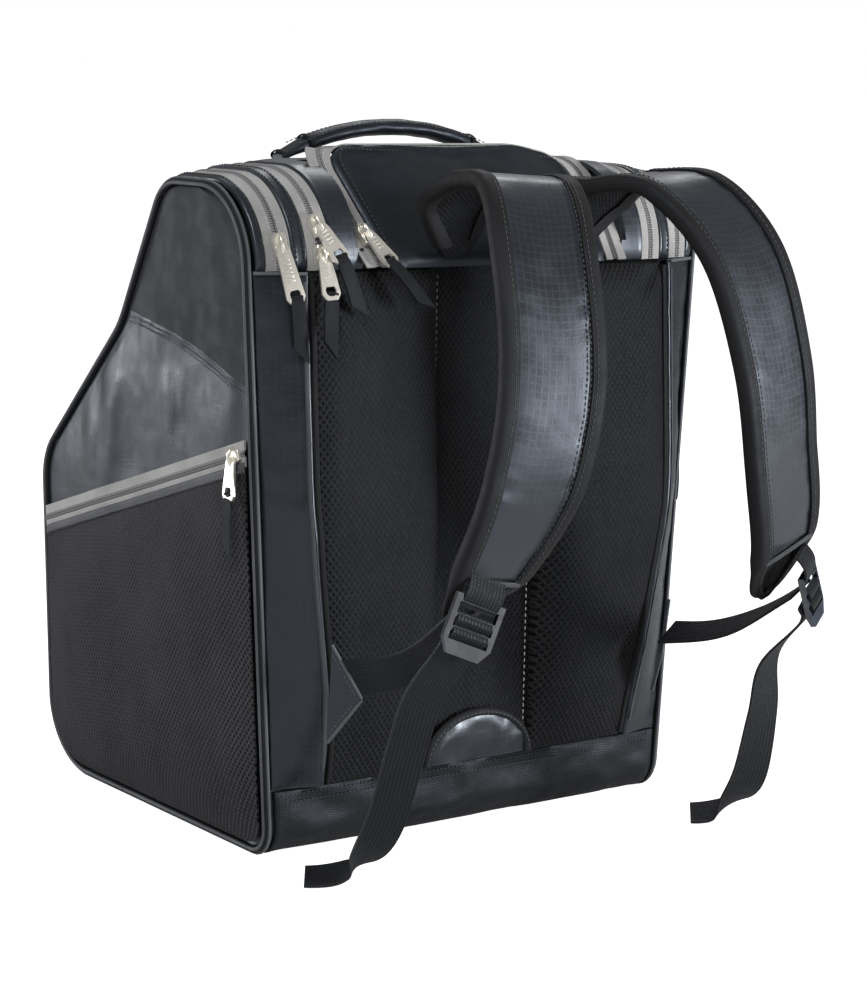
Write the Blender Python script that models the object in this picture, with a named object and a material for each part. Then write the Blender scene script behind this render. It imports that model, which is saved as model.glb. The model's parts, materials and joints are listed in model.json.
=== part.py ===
"""Ski boot bag with a zipped helmet flap, two boot compartments, a goggle pocket and shoulder straps.

Frame: metres, +Z up, origin on the floor below the middle of the bag.  -Y is the side worn against
the back, +Y is the sloping front, and -X is the wearer's left.
"""
import math

import bmesh
import bpy
import numpy as np
from mathutils import Matrix, Vector

# ---------------------------------------------------------------- driving dimensions
HALF_WIDTH_AT_FLOOR = 0.161
FLARE = 0.053                 # growth of the half-width per metre of height
GAP = 0.0004                  # left between pieces that touch

# side profile of the bag: corner (y, z) and its radius, from the back bottom corner over the top
PROFILE = (
    ((-0.148, 0.000), 0.022),
    ((-0.148, 0.434), 0.050),
    ((-0.047, 0.434), 0.035),
    ((0.018, 0.335), 0.080),
    ((0.138, 0.231), 0.050),
    ((0.149, 0.000), 0.050),
)
ARC_STEPS = 6                 # facets on each rounded corner of the profile
BACK_Y = PROFILE[0][0][0]
ARC_CENTRE = Vector((0.0, -0.098, 0.384))   # of the rounded top edge at the back

CROWN = 0.012                 # how far the middle of the top and front bulges past the side edges
SKIN = 0.003                  # foam-backed fabric
TAPE = 0.002                  # zipper tape with its coil
PIPING_RADIUS = 0.0034

BACK_SEAM_Z = 0.3795
BASE_SEAM_BACK_Z = 0.046
BASE_SEAM_FRONT_Z = 0.066
CROSS_ZIP_WIDTH = 0.018
FOLD_Y = 0.002                # where the flap folds, in front of the handle

# distances in from the side edge of the bag
EDGE = 0.0042
BOOT_ZIP = (0.0105, 0.0275)
MAIN_ZIP = (0.0380, 0.0545)

# back panel and its pads
PAD_HALF_TOP = 0.1445
PAD_HALF_BOTTOM = 0.1235
CHANNEL_HALF = 0.043
PAD_PROUD = (0.008, 0.022, 0.028, 0.015)     # at the base seam, a fifth, half way and the top seam
PAD_LIFT = 0.0015

# goggle pocket
LID_FOOT = Vector((0.0, -0.1660, 0.3820))
LID_HEAD = Vector((0.0, -0.1045, 0.4550))
LID_HALF_FOOT = 0.0880
LID_HALF_HEAD = 0.1010
LID_CORNER = 0.020
LID_THICKNESS = 0.005
LID_RIM = 0.0012              # thickness of the lid along its foot and head
LID_TAPE_WIDTH = 0.0175
HEAD_STEP = 0.0026            # how far past the lid's head its tape folds over the ridge
HEAD_TAPE_FALL = math.radians(22)
LINER_DEPTH = 0.030

DIVIDER_X = 0.062
DIVIDER_TOP_X = 0.1425
DIVIDER_TURN_Z = 0.300

# carry handle
HANDLE_Y = -0.034
HANDLE_HALF_SPAN = 0.090
HANDLE_END_Z = 0.4440
HANDLE_RISE = 0.0205
HANDLE_HALF_DEPTH = 0.0100
HANDLE_HALF_HEIGHT = 0.0060

# pocket on each side
POCKET_ZIP_BACK_Z = 0.268
POCKET_ZIP_FRONT_Z = 0.182
POCKET_ZIP_WIDTH = 0.017
POCKET_BULGE = 0.0075
POCKET_SKIN = 0.0014

# shoulder straps: centre line on the +X side, end of each strap, and twist in degrees
STRAP_ROUTE = (
    (0.043, -0.174, 0.388),
    (0.052, -0.190, 0.426),
    (0.050, -0.226, 0.436),
    (0.061, -0.271, 0.435),
    (0.078, -0.309, 0.396),
    (0.087, -0.331, 0.330),
    (0.098, -0.331, 0.268),
)
STRAP_END = {-1: ((0.111, -0.310, 0.214), (0.121, -0.288, 0.181)),
             1: ((0.118, -0.316, 0.214), (0.125, -0.293, 0.174))}
STRAP_TWIST = {-1: (0, 8, -6, -1, 4, 9, 8, -4, -10), 1: (0, 8, -6, -1, 4, 9, 13, 16, 16)}
STRAP_HALF_WIDTH = (0.012, 0.034, 0.0355, 0.0355, 0.0355, 0.035, 0.034, 0.032, 0.026)
STRAP_THICKNESS = 0.010
STRAP_TIP_THICKNESS = 0.004
STRAP_TIP_FROM = 0.88         # where the rounded tip behind the buckle begins
BUCKLE_TOP = {-1: (0.1275, -0.3190, 0.1965), 1: (0.1370, -0.3180, 0.1890)}
BUCKLE_DIRECTION = {-1: (0.38, 0.02, -0.92), 1: (0.30, -0.04, -0.95)}
BUCKLE_WIDTH_WAY = {-1: (0.91, 0.15, 0.38), 1: (0.80, 0.52, 0.25)}
WEB_HALF_WIDTH = 0.0125
WEB_THICKNESS = 0.0018
BUCKLE_LENGTH = 0.036
BUCKLE_HALF_WIDTH = 0.0170
BUCKLE_BAR = 0.0045
BUCKLE_THICKNESS = 0.0035
WEB_OFFSET = 0.0066           # from the buckle's middle plane to the webbing behind it
LOWER_WEB_WIDTH_WAY = {-1: (0.36, 0.27, 0.90), 1: (0.62, 0.78, 0.10)}

# free ends of the webbing, after they leave the back of the buckles
TAIL_ROUTE = {
    -1: ((-0.145, -0.290, 0.138), (-0.141, -0.268, 0.102), (-0.136, -0.240, 0.048),
         (-0.139, -0.221, 0.018), (-0.148, -0.211, 0.0090), (-0.168, -0.197, 0.0090)),
    1: ((0.131, -0.293, 0.128), (0.137, -0.282, 0.090), (0.146, -0.263, 0.042),
        (0.150, -0.244, 0.018), (0.148, -0.230, 0.0090), (0.134, -0.218, 0.0090)),
}

# triangular tab that holds the lower webbing
TAB_TOP = Vector((0.1390, -0.1820, 0.147))
TAB_BOTTOM = Vector((0.1350, -0.1720, 0.081))
TAB_TIP = Vector((0.1235, -0.1935, 0.112))
TAB_THICKNESS = 0.002

# zipper hardware
SLIDER_LENGTH = 0.0150
SLIDER_HALF_WIDTH = 0.0048
SLIDER_HEIGHT = 0.0042
SLIDER_CLEARANCE = 0.0006     # under a slider, over its tape
PULL_LENGTH = 0.0280
BOOT_PULL_LENGTH = 0.0380
PULL_HALF_TOP = 0.0046
PULL_HALF_END = 0.0064
PULL_THICKNESS = 0.0018
PULL_HOLE = 0.0038
TUG_LENGTH = 0.0350
TUG_HALF_WIDTH = 0.0048
TUG_THICKNESS = 0.0020

MATERIALS = {
    "coated_ripstop": ((0.045, 0.050, 0.058), 0.38, 0.0),
    "matt_ripstop": ((0.035, 0.034, 0.036), 0.62, 0.0),
    "spacer_mesh": ((0.012, 0.012, 0.013), 0.85, 0.0),
    "base_fabric": ((0.010, 0.010, 0.012), 0.70, 0.0),
    "zipper_tape": ((0.330, 0.330, 0.335), 0.60, 0.0),
    "piping": ((0.070, 0.072, 0.078), 0.50, 0.0),
    "webbing": ((0.020, 0.020, 0.021), 0.75, 0.0),
    "lining": ((0.090, 0.092, 0.098), 0.80, 0.0),
    "nickel": ((0.720, 0.680, 0.600), 0.22, 1.0),
    "gunmetal": ((0.060, 0.062, 0.066), 0.18, 1.0),
    "rubber": ((0.045, 0.045, 0.047), 0.60, 0.0),
}


# ---------------------------------------------------------------- small helpers
def clear_scene():
    for obj in list(bpy.data.objects):
        bpy.data.objects.remove(obj, do_unlink=True)


def material(name):
    found = bpy.data.materials.get(name)
    if found:
        return found
    colour, roughness, metallic = MATERIALS[name]
    made = bpy.data.materials.new(name)
    made.use_nodes = True
    shader = made.node_tree.nodes["Principled BSDF"]
    shader.inputs["Base Color"].default_value = (*colour, 1.0)
    shader.inputs["Roughness"].default_value = roughness
    shader.inputs["Metallic"].default_value = metallic
    return made


def mix(a, b, t):
    return a + (b - a) * t


def ease(t):
    t = min(max(t, 0.0), 1.0)
    return t * t * (3.0 - 2.0 * t)


def spread(start, end, count):
    """Values from start to end in count equal steps."""
    return [mix(start, end, i / count) for i in range(count + 1)]


def half_width(z):
    return HALF_WIDTH_AT_FLOOR + FLARE * z


def finish_mesh(name, mesh_data, material_name, pivot=None):
    """Turn a bmesh in world coordinates into an object whose origin is its pivot."""
    bmesh.ops.recalc_face_normals(mesh_data, faces=mesh_data.faces[:])
    if mesh_data.calc_volume(signed=True) < 0.0:
        bmesh.ops.reverse_faces(mesh_data, faces=mesh_data.faces[:])
    origin = Vector(pivot) if pivot is not None else Vector((0.0, 0.0, 0.0))
    bmesh.ops.translate(mesh_data, verts=mesh_data.verts[:], vec=-origin)
    mesh = bpy.data.meshes.new(name)
    mesh_data.to_mesh(mesh)
    mesh_data.free()
    mesh.shade_smooth()
    mesh.set_sharp_from_angle(angle=math.radians(35))
    obj = bpy.data.objects.new(name, mesh)
    obj.location = origin
    obj.data.materials.append(material(material_name))
    bpy.context.scene.collection.objects.link(obj)
    return obj


def sheet(name, surface, us, vs, inner, outer, material_name, skip=None, pivot=None):
    """A closed sheet between two offsets of surface(u, v), which returns a point and its normal.

    inner and outer are offsets along the normal, as numbers or functions of (u, v).
    skip(i, j) leaves out the cell after grid lines i and j.
    """
    low = inner if callable(inner) else lambda u, v: inner
    high = outer if callable(outer) else lambda u, v: outer
    bm = bmesh.new()
    corners = {}

    def corner(i, j, layer):
        key = (i, j, layer)
        if key not in corners:
            point, normal = surface(us[i], vs[j])
            offset = high(us[i], vs[j]) if layer else low(us[i], vs[j])
            corners[key] = bm.verts.new(point + normal * offset)
        return corners[key]

    def kept(i, j):
        inside = 0 <= i < len(us) - 1 and 0 <= j < len(vs) - 1
        return inside and not (skip and skip(i, j))

    for i in range(len(us) - 1):
        for j in range(len(vs) - 1):
            if not kept(i, j):
                continue
            ring = ((i, j), (i + 1, j), (i + 1, j + 1), (i, j + 1))
            bm.faces.new([corner(a, b, 1) for a, b in ring])
            bm.faces.new([corner(a, b, 0) for a, b in reversed(ring)])
            neighbours = ((i, j - 1), (i + 1, j), (i, j + 1), (i - 1, j))
            for k, cell in enumerate(neighbours):
                if kept(*cell):
                    continue
                a, b = ring[k], ring[(k + 1) % 4]
                bm.faces.new([corner(*b, 1), corner(*a, 1), corner(*a, 0), corner(*b, 0)])
    return finish_mesh(name, bm, material_name, pivot)


def tube(name, centres, rings, material_name, closed=False, pivot=None):
    """A tube through centres, where rings(i) gives the section's offsets from each centre."""
    bm = bmesh.new()
    loops = [[bm.verts.new(c + offset) for offset in rings(i)] for i, c in enumerate(centres)]
    pairs = list(zip(loops, loops[1:]))
    if closed:
        pairs.append((loops[-1], loops[0]))
    for first, second in pairs:
        for k in range(len(first)):
            m = (k + 1) % len(first)
            bm.faces.new((first[k], first[m], second[m], second[k]))
    if not closed:
        bm.faces.new(loops[0])
        bm.faces.new(loops[-1])
    return finish_mesh(name, bm, material_name, pivot)


def smooth_route(points, t):
    """A point on the smooth curve through the given points, t from 0 to 1."""
    place = min(max(t, 0.0), 1.0) * (len(points) - 1)
    i = min(int(place), len(points) - 2)
    f = place - i
    p1, p2 = Vector(points[i]), Vector(points[i + 1])
    p0 = Vector(points[i - 1]) if i > 0 else p1 * 2.0 - p2
    p3 = Vector(points[i + 2]) if i + 2 < len(points) else p2 * 2.0 - p1
    m1, m2 = (p2 - p0) * 0.5, (p3 - p1) * 0.5
    a, b = f * f * (3.0 - 2.0 * f), f * (1.0 - f) * (1.0 - f)
    return p1 * (1.0 - a) + p2 * a + m1 * b - m2 * (f * f * (1.0 - f))


def blend_values(values, t):
    """Linear reading of evenly spaced values, t from 0 to 1."""
    return float(np.interp(t, np.linspace(0.0, 1.0, len(values)), values))


# ---------------------------------------------------------------- side profile
class Profile:
    """The rounded side outline, read by arc length from the middle of the base's back corner."""

    def __init__(self, corners):
        points = []
        self.marks = []
        count = len(corners)
        for k in range(count):
            at = Vector(corners[k][0])
            radius = corners[k][1]
            back = (Vector(corners[k - 1][0]) - at).normalized()
            ahead = (Vector(corners[(k + 1) % count][0]) - at).normalized()
            turn = math.pi - back.angle(ahead)
            reach = radius * math.tan(turn / 2.0)
            middle = (back + ahead).normalized()
            centre = at + middle * (radius / math.cos(turn / 2.0))
            start, end = at + back * reach, at + ahead * reach
            fine = 24
            for n in range(fine + 1):
                along = self.slerp(start - centre, end - centre, n / fine)
                points.append(centre + along)
                if n % (fine // ARC_STEPS) == 0:
                    self.marks.append(len(points) - 1)
        points.append(points[0].copy())
        self.y = np.array([p[0] for p in points])
        self.z = np.array([p[1] for p in points])
        self.s = np.concatenate(([0.0], np.cumsum(np.hypot(np.diff(self.y), np.diff(self.z)))))
        self.length = float(self.s[-1])
        self.marks = [float(self.s[m]) for m in self.marks]
        self.apex = int(np.argmax(self.z))

    @staticmethod
    def slerp(a, b, t):
        angle = a.angle(b)
        if angle < 1e-6:
            return a.lerp(b, t)
        weight_a = math.sin((1.0 - t) * angle) / math.sin(angle)
        weight_b = math.sin(t * angle) / math.sin(angle)
        return a * weight_a + b * weight_b

    def at(self, s):
        """Point (y, z) and outward normal (y, z) at arc length s."""
        s = s % self.length
        step = 0.0008
        y, z = np.interp(s, self.s, self.y), np.interp(s, self.s, self.z)
        before, after = (s - step) % self.length, (s + step) % self.length
        dy = np.interp(after, self.s, self.y) - np.interp(before, self.s, self.y)
        dz = np.interp(after, self.s, self.z) - np.interp(before, self.s, self.z)
        size = math.hypot(dy, dz)
        return float(y), float(z), float(-dz / size), float(dy / size)

    def on_back(self, z):
        keep = slice(0, self.apex + 1)
        return float(np.interp(z, self.z[keep], self.s[keep]))

    def on_front(self, z):
        low = int(np.argmin(np.where(np.arange(len(self.z)) > self.apex, self.z, 9.0)))
        order = slice(low, self.apex, -1)
        return float(np.interp(z, self.z[order], self.s[order]))

    def on_top(self, y):
        keep = slice(self.apex, int(np.argmax(self.y)))
        return float(np.interp(y, self.y[keep], self.s[keep]))

    def stations(self, start, end, longest=0.07):
        """Arc lengths from start to end, with every facet of the round corners between them."""
        marks = [m + turn for turn in (0.0, self.length) for m in self.marks]
        rough = [start] + [m for m in marks if start + 0.003 < m < end - 0.003] + [end]
        out = [rough[0]]
        for a, b in zip(rough, rough[1:]):
            if b - a < 0.0015:
                continue
            parts = max(1, math.ceil((b - a) / longest))
            out += spread(a, b, parts)[1:]
        return out

    def span(self, z, inset):
        """First and last y of the area inside the outline, inset on all sides, at height z."""
        ys, zs, ny, nz = zip(*[self.at(float(v)) for v in self.s[:-1]])
        inner_y = np.array(ys) - np.array(ny) * inset
        inner_z = np.array(zs) - np.array(nz) * inset
        found = []
        for k in range(len(inner_y)):
            a, b = inner_z[k], inner_z[(k + 1) % len(inner_z)]
            if (a - z) * (b - z) <= 0.0 and abs(a - b) > 1e-9:
                t = (z - a) / (b - a)
                found.append(float(mix(inner_y[k], inner_y[(k + 1) % len(inner_y)], t)))
        return min(found), max(found)


OUTLINE = Profile(PROFILE)
S_BACK_SEAM = OUTLINE.on_back(BACK_SEAM_Z)
S_RIDGE = OUTLINE.on_top(-0.086)
S_FOLD = OUTLINE.on_top(FOLD_Y)
S_CROSS_TOP = OUTLINE.on_front(BASE_SEAM_FRONT_Z + CROSS_ZIP_WIDTH)
S_CROSS_BOTTOM = OUTLINE.on_front(BASE_SEAM_FRONT_Z)


def crown(s, x, z):
    """Bulge of the wrap: nothing at the side edges and along the base, full across the middle."""
    across = 1.0 - min(abs(x) / half_width(z), 1.0) ** 4
    front_drop = ease((S_CROSS_BOTTOM - s) / 0.06) if s < S_CROSS_BOTTOM else 0.0
    return CROWN * across * front_drop


def wrap(s, x_of_z):
    """Point and normal on the wrap that joins the two side panels."""
    y, z, ny, nz = OUTLINE.at(s)
    x = x_of_z(z)
    bulge = crown(s, x, z)
    return Vector((x, y + ny * bulge, z + nz * bulge)), Vector((0.0, ny, nz))


def from_edge(side, inset):
    return lambda z: side * (half_width(z) - inset)


# ---------------------------------------------------------------- shell of the bag
def make_wrap_strip(name, side, insets, start, end, thickness, material_name):
    near, far = insets

    def surface(s, v):
        return wrap(s, from_edge(side, mix(near, far, v)))

    return sheet(name, surface, OUTLINE.stations(start, end), [0.0, 1.0],
                 -thickness, 0.0, material_name)


def make_strips(side, tag):
    end = S_CROSS_BOTTOM - GAP
    make_wrap_strip("edge_strip_" + tag, side, (EDGE, BOOT_ZIP[0] - GAP), S_BACK_SEAM, end,
                    SKIN, "coated_ripstop")
    make_wrap_strip("boot_zipper_" + tag, side, BOOT_ZIP, S_BACK_SEAM, end, TAPE, "zipper_tape")
    make_wrap_strip("middle_strip_" + tag, side, (BOOT_ZIP[1] + GAP, MAIN_ZIP[0] - GAP),
                    S_BACK_SEAM, end, SKIN, "coated_ripstop")


def make_main_zipper():
    rows = OUTLINE.stations(S_BACK_SEAM, S_CROSS_TOP)
    rows.append(S_CROSS_BOTTOM - GAP)
    columns = (-1, -2, -0.5, 0.5, 2, 1)

    def surface(s, v):
        y, z, ny, nz = OUTLINE.at(s)
        side = 1.0 if v > 0 else -1.0
        reach = half_width(z) - MAIN_ZIP[0]
        if abs(v) == 2:
            reach = half_width(z) - MAIN_ZIP[1]
        if abs(v) == 0.5:
            reach = 0.04
        return wrap(s, lambda height: side * reach)

    def open_middle(i, j):
        return 0 < j < 4 and i < len(rows) - 2

    sheet("main_zipper", surface, rows, columns, -TAPE, 0.0, "zipper_tape", skip=open_middle)


def make_top_panel():
    """Fabric under the handle, with a cheek running down each side of the goggle pocket."""
    rows = OUTLINE.stations(S_BACK_SEAM, S_RIDGE) + OUTLINE.stations(S_RIDGE, S_FOLD - GAP)[1:]
    cheek_rows = len(OUTLINE.stations(S_BACK_SEAM, S_RIDGE)) - 1
    columns = (-2, -1, -0.5, 0.5, 1, 2)

    def surface(s, v):
        def reach(z):
            side = 1.0 if v > 0 else -1.0
            outer = half_width(z) - MAIN_ZIP[1] - GAP
            inner = LID_HALF_HEAD + LID_TAPE_WIDTH + 3.0 * GAP
            return side * {2: outer, 1: inner, 0.5: 0.045}[abs(v)]
        return wrap(s, reach)

    def under_lid(i, j):
        return 0 < j < 4 and i < cheek_rows

    sheet("top_panel", surface, rows, columns, -SKIN, 0.0, "coated_ripstop", skip=under_lid)


def make_front_flap():
    rows = OUTLINE.stations(S_FOLD + GAP, S_CROSS_TOP - 2.0 * GAP)

    def surface(s, v):
        y, z, ny, nz = OUTLINE.at(s)
        return wrap(s, lambda height: v * (half_width(height) - MAIN_ZIP[1] - GAP))

    hinge = fold_line()
    sheet("front_flap", surface, rows, spread(-1.0, 1.0, 6), -SKIN, 0.0, "coated_ripstop",
          pivot=hinge)


def fold_line():
    point, normal = wrap(S_FOLD, lambda z: 0.0)
    return point + normal * 0.001


def make_base_panel():
    start = S_CROSS_BOTTOM
    end = OUTLINE.length + OUTLINE.on_back(BASE_SEAM_BACK_Z - GAP)

    def surface(s, v):
        return wrap(s, lambda z: v * (half_width(z) - EDGE))

    sheet("base_panel", surface, OUTLINE.stations(start, end, 0.2), [-1.0, -0.4, 0.4, 1.0],
          -SKIN, 0.0, "base_fabric")


def side_plane(side, y, z, out):
    """Point on the slanted side wall, out metres outside it, with its outward normal."""
    normal = Vector((side, 0.0, -FLARE)).normalized()
    return Vector((side * half_width(z), y, z)) + normal * out, normal


def make_side_panel(side, tag):
    inset = 2.0 * PIPING_RADIUS + 4.0 * GAP
    top = PROFILE[1][0][1] - inset
    heights = [inset, 0.011, 0.016, 0.026, 0.05, 0.20, 0.222, 0.245, 0.295, 0.315, 0.335, 0.355,
               0.375, 0.395, 0.412, 0.421, top]

    def surface(z, v):
        first, last = OUTLINE.span(min(max(z, inset + 1e-5), top - 1e-5), inset)
        return side_plane(side, mix(first, last, v), z, 0.0)

    sheet("side_panel_" + tag, surface, heights, [0.0, 1.0], -SKIN, 0.0, "matt_ripstop")


def pocket_zip_z(y):
    """Height of the pocket zipper's middle at y."""
    return mix(POCKET_ZIP_BACK_Z, POCKET_ZIP_FRONT_Z, (y - BACK_Y) / (PROFILE[4][0][0] - BACK_Y))


def make_pocket(side, tag):
    inset = 2.0 * PIPING_RADIUS + 6.0 * GAP
    slope = pocket_zip_z(1.0) - pocket_zip_z(0.0)
    level = pocket_zip_z(0.0) - POCKET_ZIP_WIDTH * 0.55
    rows = [0.0, 0.02, 0.07, 0.15, 0.3, 0.5, 0.7, 0.88, 1.0]

    def height(u, y):
        return max(mix(inset, level, u) + u * slope * y, inset)

    def edge_y(u, which):
        y = 0.0
        for _ in range(6):
            y = OUTLINE.span(height(u, y) + 1e-5, inset)[which]
        return y

    def surface(u, v):
        y = mix(edge_y(u, 0), edge_y(u, 1), v)
        return side_plane(side, y, height(u, y), 0.0)

    def puff(u, v):
        return POCKET_BULGE * (1.0 - (2.0 * u - 1.0) ** 4) * (1.0 - (2.0 * v - 1.0) ** 4)

    def inner(u, v):
        return GAP + puff(u, v)

    def outer(u, v):
        return GAP + POCKET_SKIN + puff(u, v)

    sheet("side_pocket_" + tag, surface, rows, spread(0.0, 1.0, 7), inner, outer, "spacer_mesh")


def make_pocket_zipper(side, tag):
    inset = 2.0 * PIPING_RADIUS + 3.0 * GAP

    def surface(v, u):
        y_back = BACK_Y + inset
        y_front = OUTLINE.span(POCKET_ZIP_FRONT_Z - 0.004, inset)[1]
        y = mix(y_back, y_front, u)
        return side_plane(side, y, pocket_zip_z(y) + v * POCKET_ZIP_WIDTH * 0.5, 0.0)

    sheet("pocket_zipper_" + tag, surface, [-1.0, 1.0], spread(0.0, 1.0, 4), GAP, GAP + TAPE,
          "zipper_tape")


def make_piping(side, tag):
    stops = OUTLINE.stations(0.0, OUTLINE.length, 0.09)[:-1]
    centres = []
    normals = []
    for s in stops:
        y, z, ny, nz = OUTLINE.at(s)
        inner_z = z - nz * PIPING_RADIUS
        centres.append(Vector((side * half_width(z), y - ny * PIPING_RADIUS, inner_z)))
        normals.append(Vector((0.0, ny, nz)))

    def ring(i):
        out = Vector((side, 0.0, 0.0))
        angles = [math.radians(60 * k) for k in range(6)]
        return [(out * math.cos(a) + normals[i] * math.sin(a)) * PIPING_RADIUS for a in angles]

    tube("piping_" + tag, centres, ring, "piping", closed=True)


# ---------------------------------------------------------------- back of the bag
def back_fraction(z):
    return (z - BASE_SEAM_BACK_Z) / (BACK_SEAM_Z - BASE_SEAM_BACK_Z)


def pad_half(z):
    t = back_fraction(z)
    return mix(PAD_HALF_BOTTOM, PAD_HALF_TOP, ease(t * 1.6))


def pad_proud(z):
    return float(np.interp(back_fraction(z), (0.0, 0.2, 0.5, 1.0), PAD_PROUD))


BACK_ROWS = spread(BASE_SEAM_BACK_Z + GAP, BACK_SEAM_Z - GAP, 8)
OUT = Vector((0.0, -1.0, 0.0))


def make_back_panel():
    def surface(z, v):
        return Vector((v * pad_half(z), BACK_Y, z)), OUT

    sheet("back_panel", surface, BACK_ROWS, [-1.0, -0.3, 0.3, 1.0], -0.0015, PAD_LIFT - GAP,
          "spacer_mesh")


def make_back_pad(side, tag):
    def surface(z, v):
        x = mix(CHANNEL_HALF, pad_half(z), v)
        return Vector((side * x, BACK_Y, z)), OUT

    def outer(z, v):
        roll = 1.0 - 0.35 * (1.0 - v) ** 4
        ends = 1.0 - 0.18 * (2.0 * back_fraction(z) - 1.0) ** 8
        return PAD_LIFT + (pad_proud(z) - PAD_LIFT) * roll * ends

    sheet("back_pad_" + tag, surface, BACK_ROWS, [0.0, 0.15, 0.4, 0.7, 1.0], PAD_LIFT, outer,
          "spacer_mesh")


def make_back_gusset(side, tag):
    def surface(z, v):
        outer_x = half_width(z) - EDGE
        x = mix(outer_x, pad_half(z) + TAPE + GAP, v)
        y = BACK_Y + 0.002 - mix(0.0, pad_proud(z) * 0.86 + 0.002, v)
        normal = Vector((side * (pad_proud(z) + 0.002), -(outer_x - pad_half(z)), 0.0))
        return Vector((side * x, y, z)), normal.normalized()

    sheet("back_gusset_" + tag, surface, BACK_ROWS, [0.0, 0.5, 1.0], -TAPE, 0.0,
          "coated_ripstop")


# ---------------------------------------------------------------- goggle pocket
LID_ALONG = (LID_HEAD - LID_FOOT).normalized()
LID_NORMAL = Vector((0.0, -LID_ALONG.z, LID_ALONG.y))
LID_LENGTH = (LID_HEAD - LID_FOOT).length


def lid_half(u):
    """Half-width of the lid, u from 0 at its foot to 1 at its head, with rounded head corners."""
    corner_start = 1.0 - LID_CORNER / LID_LENGTH
    rounding = 0.0
    if u > corner_start:
        t = (u - corner_start) / (1.0 - corner_start)
        rounding = LID_CORNER * (1.0 - math.sqrt(max(0.0, 1.0 - t * t)))
    return mix(LID_HALF_FOOT, LID_HALF_HEAD, u) - rounding


def make_lid():
    def surface(u, v):
        point = LID_FOOT + LID_ALONG * (u * LID_LENGTH)
        return point + Vector((v * lid_half(u), 0.0, 0.0)), LID_NORMAL

    def inner(u, v):
        return -mix(LID_RIM, LID_THICKNESS, ease(min(u, 1.0 - u) / 0.15))

    corner = LID_CORNER / LID_LENGTH
    turns = [math.radians(a) for a in (0, 30, 60, 90)]
    rows = [0.0, 0.15, 0.5] + [1.0 - corner * (1.0 - math.sin(a)) for a in turns]
    sheet("goggle_lid", surface, rows, [-1.0, 0.0, 1.0], inner, 0.0, "coated_ripstop",
          pivot=LID_FOOT)


def make_lid_zipper():
    """Tape round the lid's two sides and head, as one U."""
    gap = 2.0 * GAP

    def edge(t):
        """Side, x and run of the lid's edge at fraction t, and the turn from side to head."""
        side = -1.0 if t < 0.5 else 1.0
        run = 1.0 - abs(2.0 * t - 1.0)
        if run < 0.6:
            u = run / 0.6 * (1.0 - LID_CORNER / LID_LENGTH)
            return side, lid_half(u), u * LID_LENGTH, 0.0
        if run < 0.85:
            turn = (run - 0.6) / 0.25 * math.pi / 2.0
            along = LID_LENGTH - LID_CORNER + LID_CORNER * math.sin(turn)
            return side, lid_half(along / LID_LENGTH), along, turn
        x = lid_half(1.0) * (1.0 - (run - 0.85) / 0.15)
        return side, x, LID_LENGTH, math.pi / 2.0

    over = Vector((0.0, math.cos(HEAD_TAPE_FALL), -math.sin(HEAD_TAPE_FALL)))
    over_normal = Vector((0.0, math.sin(HEAD_TAPE_FALL), math.cos(HEAD_TAPE_FALL)))

    def surface(t, v):
        side, x, along, turn = edge(t)
        folded = ease(turn / (math.pi / 2.0))
        outward = Vector((side * math.cos(turn), 0.0, 0.0))
        outward += LID_ALONG.lerp(over, folded).normalized() * math.sin(turn)
        first = LID_FOOT + Vector((side * x, 0.0, 0.0)) + LID_ALONG * (along + HEAD_STEP * folded)
        point = first + outward * mix(gap, LID_TAPE_WIDTH, v)
        return point, LID_NORMAL.lerp(over_normal, folded).normalized()

    half = [0.0, 0.15, 0.3, 0.3417, 0.3833, 0.425, 0.5]
    stops = half + [1.0 - t for t in reversed(half[:-1])]
    sheet("lid_zipper", surface, stops, [0.0, 1.0], -TAPE, 0.0, "zipper_tape")


def make_liner():
    """Soft tray of the goggle pocket, hung under the lid."""
    def surface(u, v):
        point = LID_FOOT + LID_ALONG * (0.012 + u * (LID_LENGTH - 0.020))
        return point + Vector((v * (LID_HALF_FOOT - 0.003), 0.0, 0.0)), LID_NORMAL

    def depth(u, v):
        sag = math.sin(math.pi * u) * (1.0 - v ** 4)
        return LID_THICKNESS + 0.001 + LINER_DEPTH * sag

    sheet("goggle_liner", surface, [0.0, 0.15, 0.32, 0.5, 0.68, 0.85, 1.0],
          [-1.0, -0.85, -0.5, 0.0, 0.5, 0.85, 1.0],
          lambda u, v: -depth(u, v) - 0.0015, lambda u, v: -depth(u, v), "lining")


# ---------------------------------------------------------------- inside
def make_divider(side, tag):
    """Wall between the middle and a boot compartment, turned outward under the top."""
    inset = 0.009
    top = 0.410

    def surface(z, v):
        first, last = OUTLINE.span(z, inset)
        x = mix(DIVIDER_X, DIVIDER_TOP_X, ease((z - DIVIDER_TURN_Z) / (top - DIVIDER_TURN_Z)))
        slope = FLARE if z < DIVIDER_TURN_Z else 1.0
        return Vector((side * x, mix(first, last, v), z)), Vector((side, 0.0, -slope)).normalized()

    rows = [0.0095, 0.014, 0.022, 0.045, 0.20, 0.225, 0.26, 0.30, 0.33, 0.355, 0.38, 0.398, top]
    sheet("divider_" + tag, surface, rows, [0.0, 1.0], -0.001, 0.001, "lining")


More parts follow.
